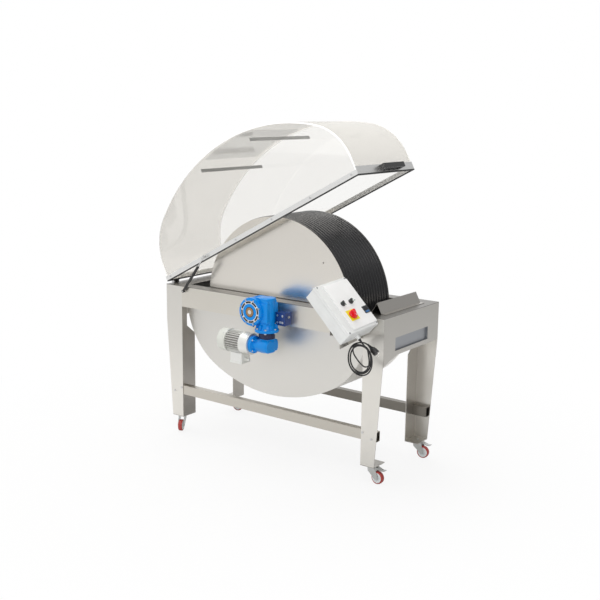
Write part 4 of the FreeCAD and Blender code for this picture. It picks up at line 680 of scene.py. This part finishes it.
for name, along, across in (("left", 0.150, 0.094), ("right", 0.153, 0.159)):
    spot = Matrix.Translation((along, across, 0.0063))
    knob_bm = bmesh.new()
    turned(knob_bm, box_frame @ Vector((along, across, 0.0063)), out_of_box,
           [(0, 14.5), (2.5, 14.5), (3.5, 12.5), (9, 11.5), (10, 10)], around=40)
    rounded_slab(knob_bm, (-12.5, -4, 8), (12.5, 4, 19), 2, box_frame @ spot, steps=3)
    knob = add_piece("selector_grip_" + name, knob_bm, knob_black, "selector_%s_knob" % name, "knob_black", smooth=40)
    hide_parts("selector_" + name)
    dot_bm = bmesh.new()
    rounded_slab(dot_bm, (2, -1, 18.8), (11.5, 1, 19.4), 0.2, box_frame @ spot, steps=1)
    add_piece("selector_mark_" + name, dot_bm, mark_white, "selector_%s_knob" % name, "knob_black")
print_bm = bmesh.new()
for low, high in (((146, 112, 6.1), (150, 118, 6.35)), ((157, 110, 6.1), (161, 119, 6.35)), ((134, 92, 6.1), (137, 98, 6.35)),
                  ((146, 177, 6.1), (150, 184, 6.35)), ((150, 186, 6.1), (154, 200, 6.35)), ((138, 182, 6.1), (142, 190, 6.35))):
    rounded_slab(print_bm, low, high, 0.1, box_frame, steps=1)
add_piece("panel_print", print_bm, mark_green, "frame", "box_white")

# ---------------------------------------------------------------- hood
# Clear polycarbonate: two flat arched sides, and a sheet bent over them.  Its lower edge is held
# in an aluminium frame with a rubber seal, and it turns on two black hinges.


def clear_plastic(name, tint, haze, haze_tone, roughness=0.03):
    """A thin clear sheet: it lets light through straight, mirrors at its surface and is a little hazy."""
    material, nodes, links, shader = new_material(name)
    nodes.remove(shader)
    output = nodes["Material Output"]
    through = node_of(nodes, "ShaderNodeBsdfTransparent")
    through.inputs["Color"].default_value = (*tint, 1)
    gloss = node_of(nodes, "ShaderNodeBsdfGlossy", Roughness=roughness)
    gloss.inputs["Color"].default_value = (0.9, 0.9, 0.9, 1)
    slant = node_of(nodes, "ShaderNodeLayerWeight", Blend=0.5)
    steep = node_of(nodes, "ShaderNodeMath", operation="POWER")
    links.new(slant.outputs["Facing"], steep.inputs[0])
    steep.inputs[1].default_value = 4.0
    mirror_part = node_of(nodes, "ShaderNodeMapRange")
    mirror_part.inputs["To Min"].default_value = 0.06
    mirror_part.inputs["To Max"].default_value = 0.5
    links.new(steep.outputs[0], mirror_part.inputs["Value"])
    surface = node_of(nodes, "ShaderNodeMixShader")
    links.new(mirror_part.outputs["Result"], surface.inputs["Fac"])
    links.new(through.outputs[0], surface.inputs[1])
    links.new(gloss.outputs[0], surface.inputs[2])
    film = node_of(nodes, "ShaderNodeBsdfDiffuse")
    film.inputs["Color"].default_value = (*haze_tone, 1)
    whole = node_of(nodes, "ShaderNodeMixShader")
    smear = node_of(nodes, "ShaderNodeTexNoise", Scale=3.0, Detail=3.0)
    place = node_of(nodes, "ShaderNodeTexCoord")
    links.new(place.outputs["Object"], smear.inputs["Vector"])
    amount = node_of(nodes, "ShaderNodeMapRange")
    amount.inputs["To Min"].default_value = haze * 0.8
    amount.inputs["To Max"].default_value = haze * 1.2
    links.new(smear.outputs["Fac"], amount.inputs["Value"])
    links.new(amount.outputs["Result"], whole.inputs["Fac"])
    links.new(surface.outputs[0], whole.inputs[1])
    links.new(film.outputs[0], whole.inputs[2])
    links.new(whole.outputs[0], output.inputs["Surface"])
    return material


side_clear = clear_plastic("hood_side_clear", (0.998, 0.995, 0.988), 0.012, (0.85, 0.84, 0.81))
finish_nodes(side_clear, "hood_sides")
top_clear = clear_plastic("hood_top_clear", (0.975, 0.965, 0.945), 0.13, (0.72, 0.70, 0.655))
finish_nodes(top_clear, "hood_top_sheet")
vent_clear = clear_plastic("hood_vent_tint", (0.985, 0.985, 0.98), 0.09, (0.55, 0.55, 0.55))
finish_nodes(vent_clear, "hood_vent_panel")
edge_alloy = brushed_steel("hood_edge_alloy", (0.90, 0.90, 0.89), 0.36, (0.05, 0.05, 1))
finish_nodes(edge_alloy, "hood_edge_frame")
bar_alloy = brushed_steel("hood_bar_alloy", (0.42, 0.42, 0.41), 0.40, (0.05, 0.05, 1))
finish_nodes(bar_alloy, "hood_cross_bars")
hood_angle = math.radians(27.7)
# Painted light: a white band with a faint glow of its own along the side sheets' arched edges stands for their lit cut
# edges.
edge_glow_white, nodes, links, shader = new_material("edge_glow_white")
shader.inputs["Base Color"].default_value = (0.93, 0.93, 0.92, 1)
shader.inputs["Roughness"].default_value = 0.35
shader.inputs["Emission Color"].default_value = (1, 1, 1, 1)
shader.inputs["Emission Strength"].default_value = 0.25


def hood_spot(along, across, above):
    """A point of the hood from its hinge, in millimetres along it, across it and over its edge."""
    return at(-16 + along * math.cos(hood_angle) - above * math.sin(hood_angle), across,
              983 + along * math.sin(hood_angle) + above * math.cos(hood_angle))


def arch_line(inset, steps=20):
    """Points of the side panel's arched edge, drawn smaller by an inset."""
    half, straight, corner, rise = 817.0, 100.0, 337.0, 589.0
    span, tall = half - corner, rise - straight
    crown = (tall * tall + span * span - corner * corner) / (2 * (tall - corner))
    centre = rise - crown
    lean = math.atan2(straight - centre, span)
    points = [(half - inset, 12.0)]
    for step in range(steps + 1):
        angle = lean * step / steps
        points.append((span + (corner - inset) * math.cos(angle), straight + (corner - inset) * math.sin(angle)))
    for step in range(1, steps + 1):
        angle = lean + (math.pi / 2 - lean) * step / steps
        points.append(((crown - inset) * math.cos(angle), centre + (crown - inset) * math.sin(angle)))
    return points + [(-x, z) for x, z in reversed(points[:-1])]


# The glowing white band along both side sheets' arched edges is painted light.
edge_glow_strip = bmesh.new()
for outer_face, inner_face in ((8.6, 14.5), (605.5, 611.4)):
    for near, far in zip(zip(arch_line(0.4), arch_line(9)), zip(arch_line(0.4)[1:], arch_line(9)[1:])):
        corners = []
        for across in (outer_face, inner_face):
            for x, z in (near[0], far[0], far[1], near[1]):
                corners.append(edge_glow_strip.verts.new(hood_spot(841.5 + x, across, z)))
        for face in ((0, 1, 2, 3), (7, 6, 5, 4), (0, 4, 5, 1), (2, 6, 7, 3)):
            edge_glow_strip.faces.new([corners[k] for k in face])
bmesh.ops.remove_doubles(edge_glow_strip, verts=edge_glow_strip.verts, dist=0.00002)
add_piece("hood_edge_glow", edge_glow_strip, edge_glow_white, "hood", "hood_clear", smooth=40)
seal_black, nodes, links, shader = new_material("seal_rubber")
shader.inputs["Base Color"].default_value = (0.02, 0.02, 0.02, 1)
shader.inputs["Roughness"].default_value = 0.6
finish_nodes(seal_black, "hood_seal")
moulded_black = enamel("moulded_black", (0.018, 0.018, 0.018), 0.45, orange_peel=0.2, scale=700.0)
finish_nodes(moulded_black, "hinge_leaves", "hood_handle", "strut_cylinder")

# ---------------------------------------------------------------- castors
# Pressed zinc-plated forks and nylon wheels with a red tread; the two at the control end have brakes.
zinc = brushed_steel("zinc_plate", (0.62, 0.63, 0.62), 0.33, (1, 1, 1), fine=200.0)
tread_red = enamel("tread_red", (0.46, 0.05, 0.04), 0.45, orange_peel=0.05)
hub_grey = enamel("hub_grey", (0.80, 0.84, 0.85), 0.40, orange_peel=0.05)
places = {"front_left": (80, 50, -62), "front_right": (1570, 50, -4), "rear_left": (80, 570, 12),
          "rear_right": (1570, 570, 6)}
for corner, (along, across, turn) in places.items():
    finish_nodes(zinc, "castor_fork_" + corner)
    turn = math.radians(turn)
    hub_at = at(along + 38 * math.cos(turn), across + 38 * math.sin(turn), 37.5)
    spindle_line = Vector((-math.sin(turn), math.cos(turn), 0))
    tread = bmesh.new()
    turned(tread, hub_at, spindle_line, [(-12.5, 29), (-13.6, 33), (-11.5, 36.4), (-6, 37.4), (6, 37.4), (11.5, 36.4), (13.6, 33),
                                         (12.5, 29)], around=48)
    wheel = add_piece("wheel_tread_" + corner, tread, tread_red, "wheel_" + corner, "castor_tread", smooth=50)
    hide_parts("castor_wheel_" + corner)
    hub = bmesh.new()
    for face in (-1, 1):
        turned(hub, hub_at, spindle_line * face, [(4, 30.5), (13.2, 30.5), (13.9, 29.5), (13.9, 27), (13.0, 26)], around=48)
        turned(hub, hub_at, spindle_line * face, [(4, 11.5), (13.4, 11.5), (14, 10.5)], around=32)
    add_piece("wheel_hub_" + corner, hub, hub_grey, "wheel_" + corner, "castor_tread", smooth=40)
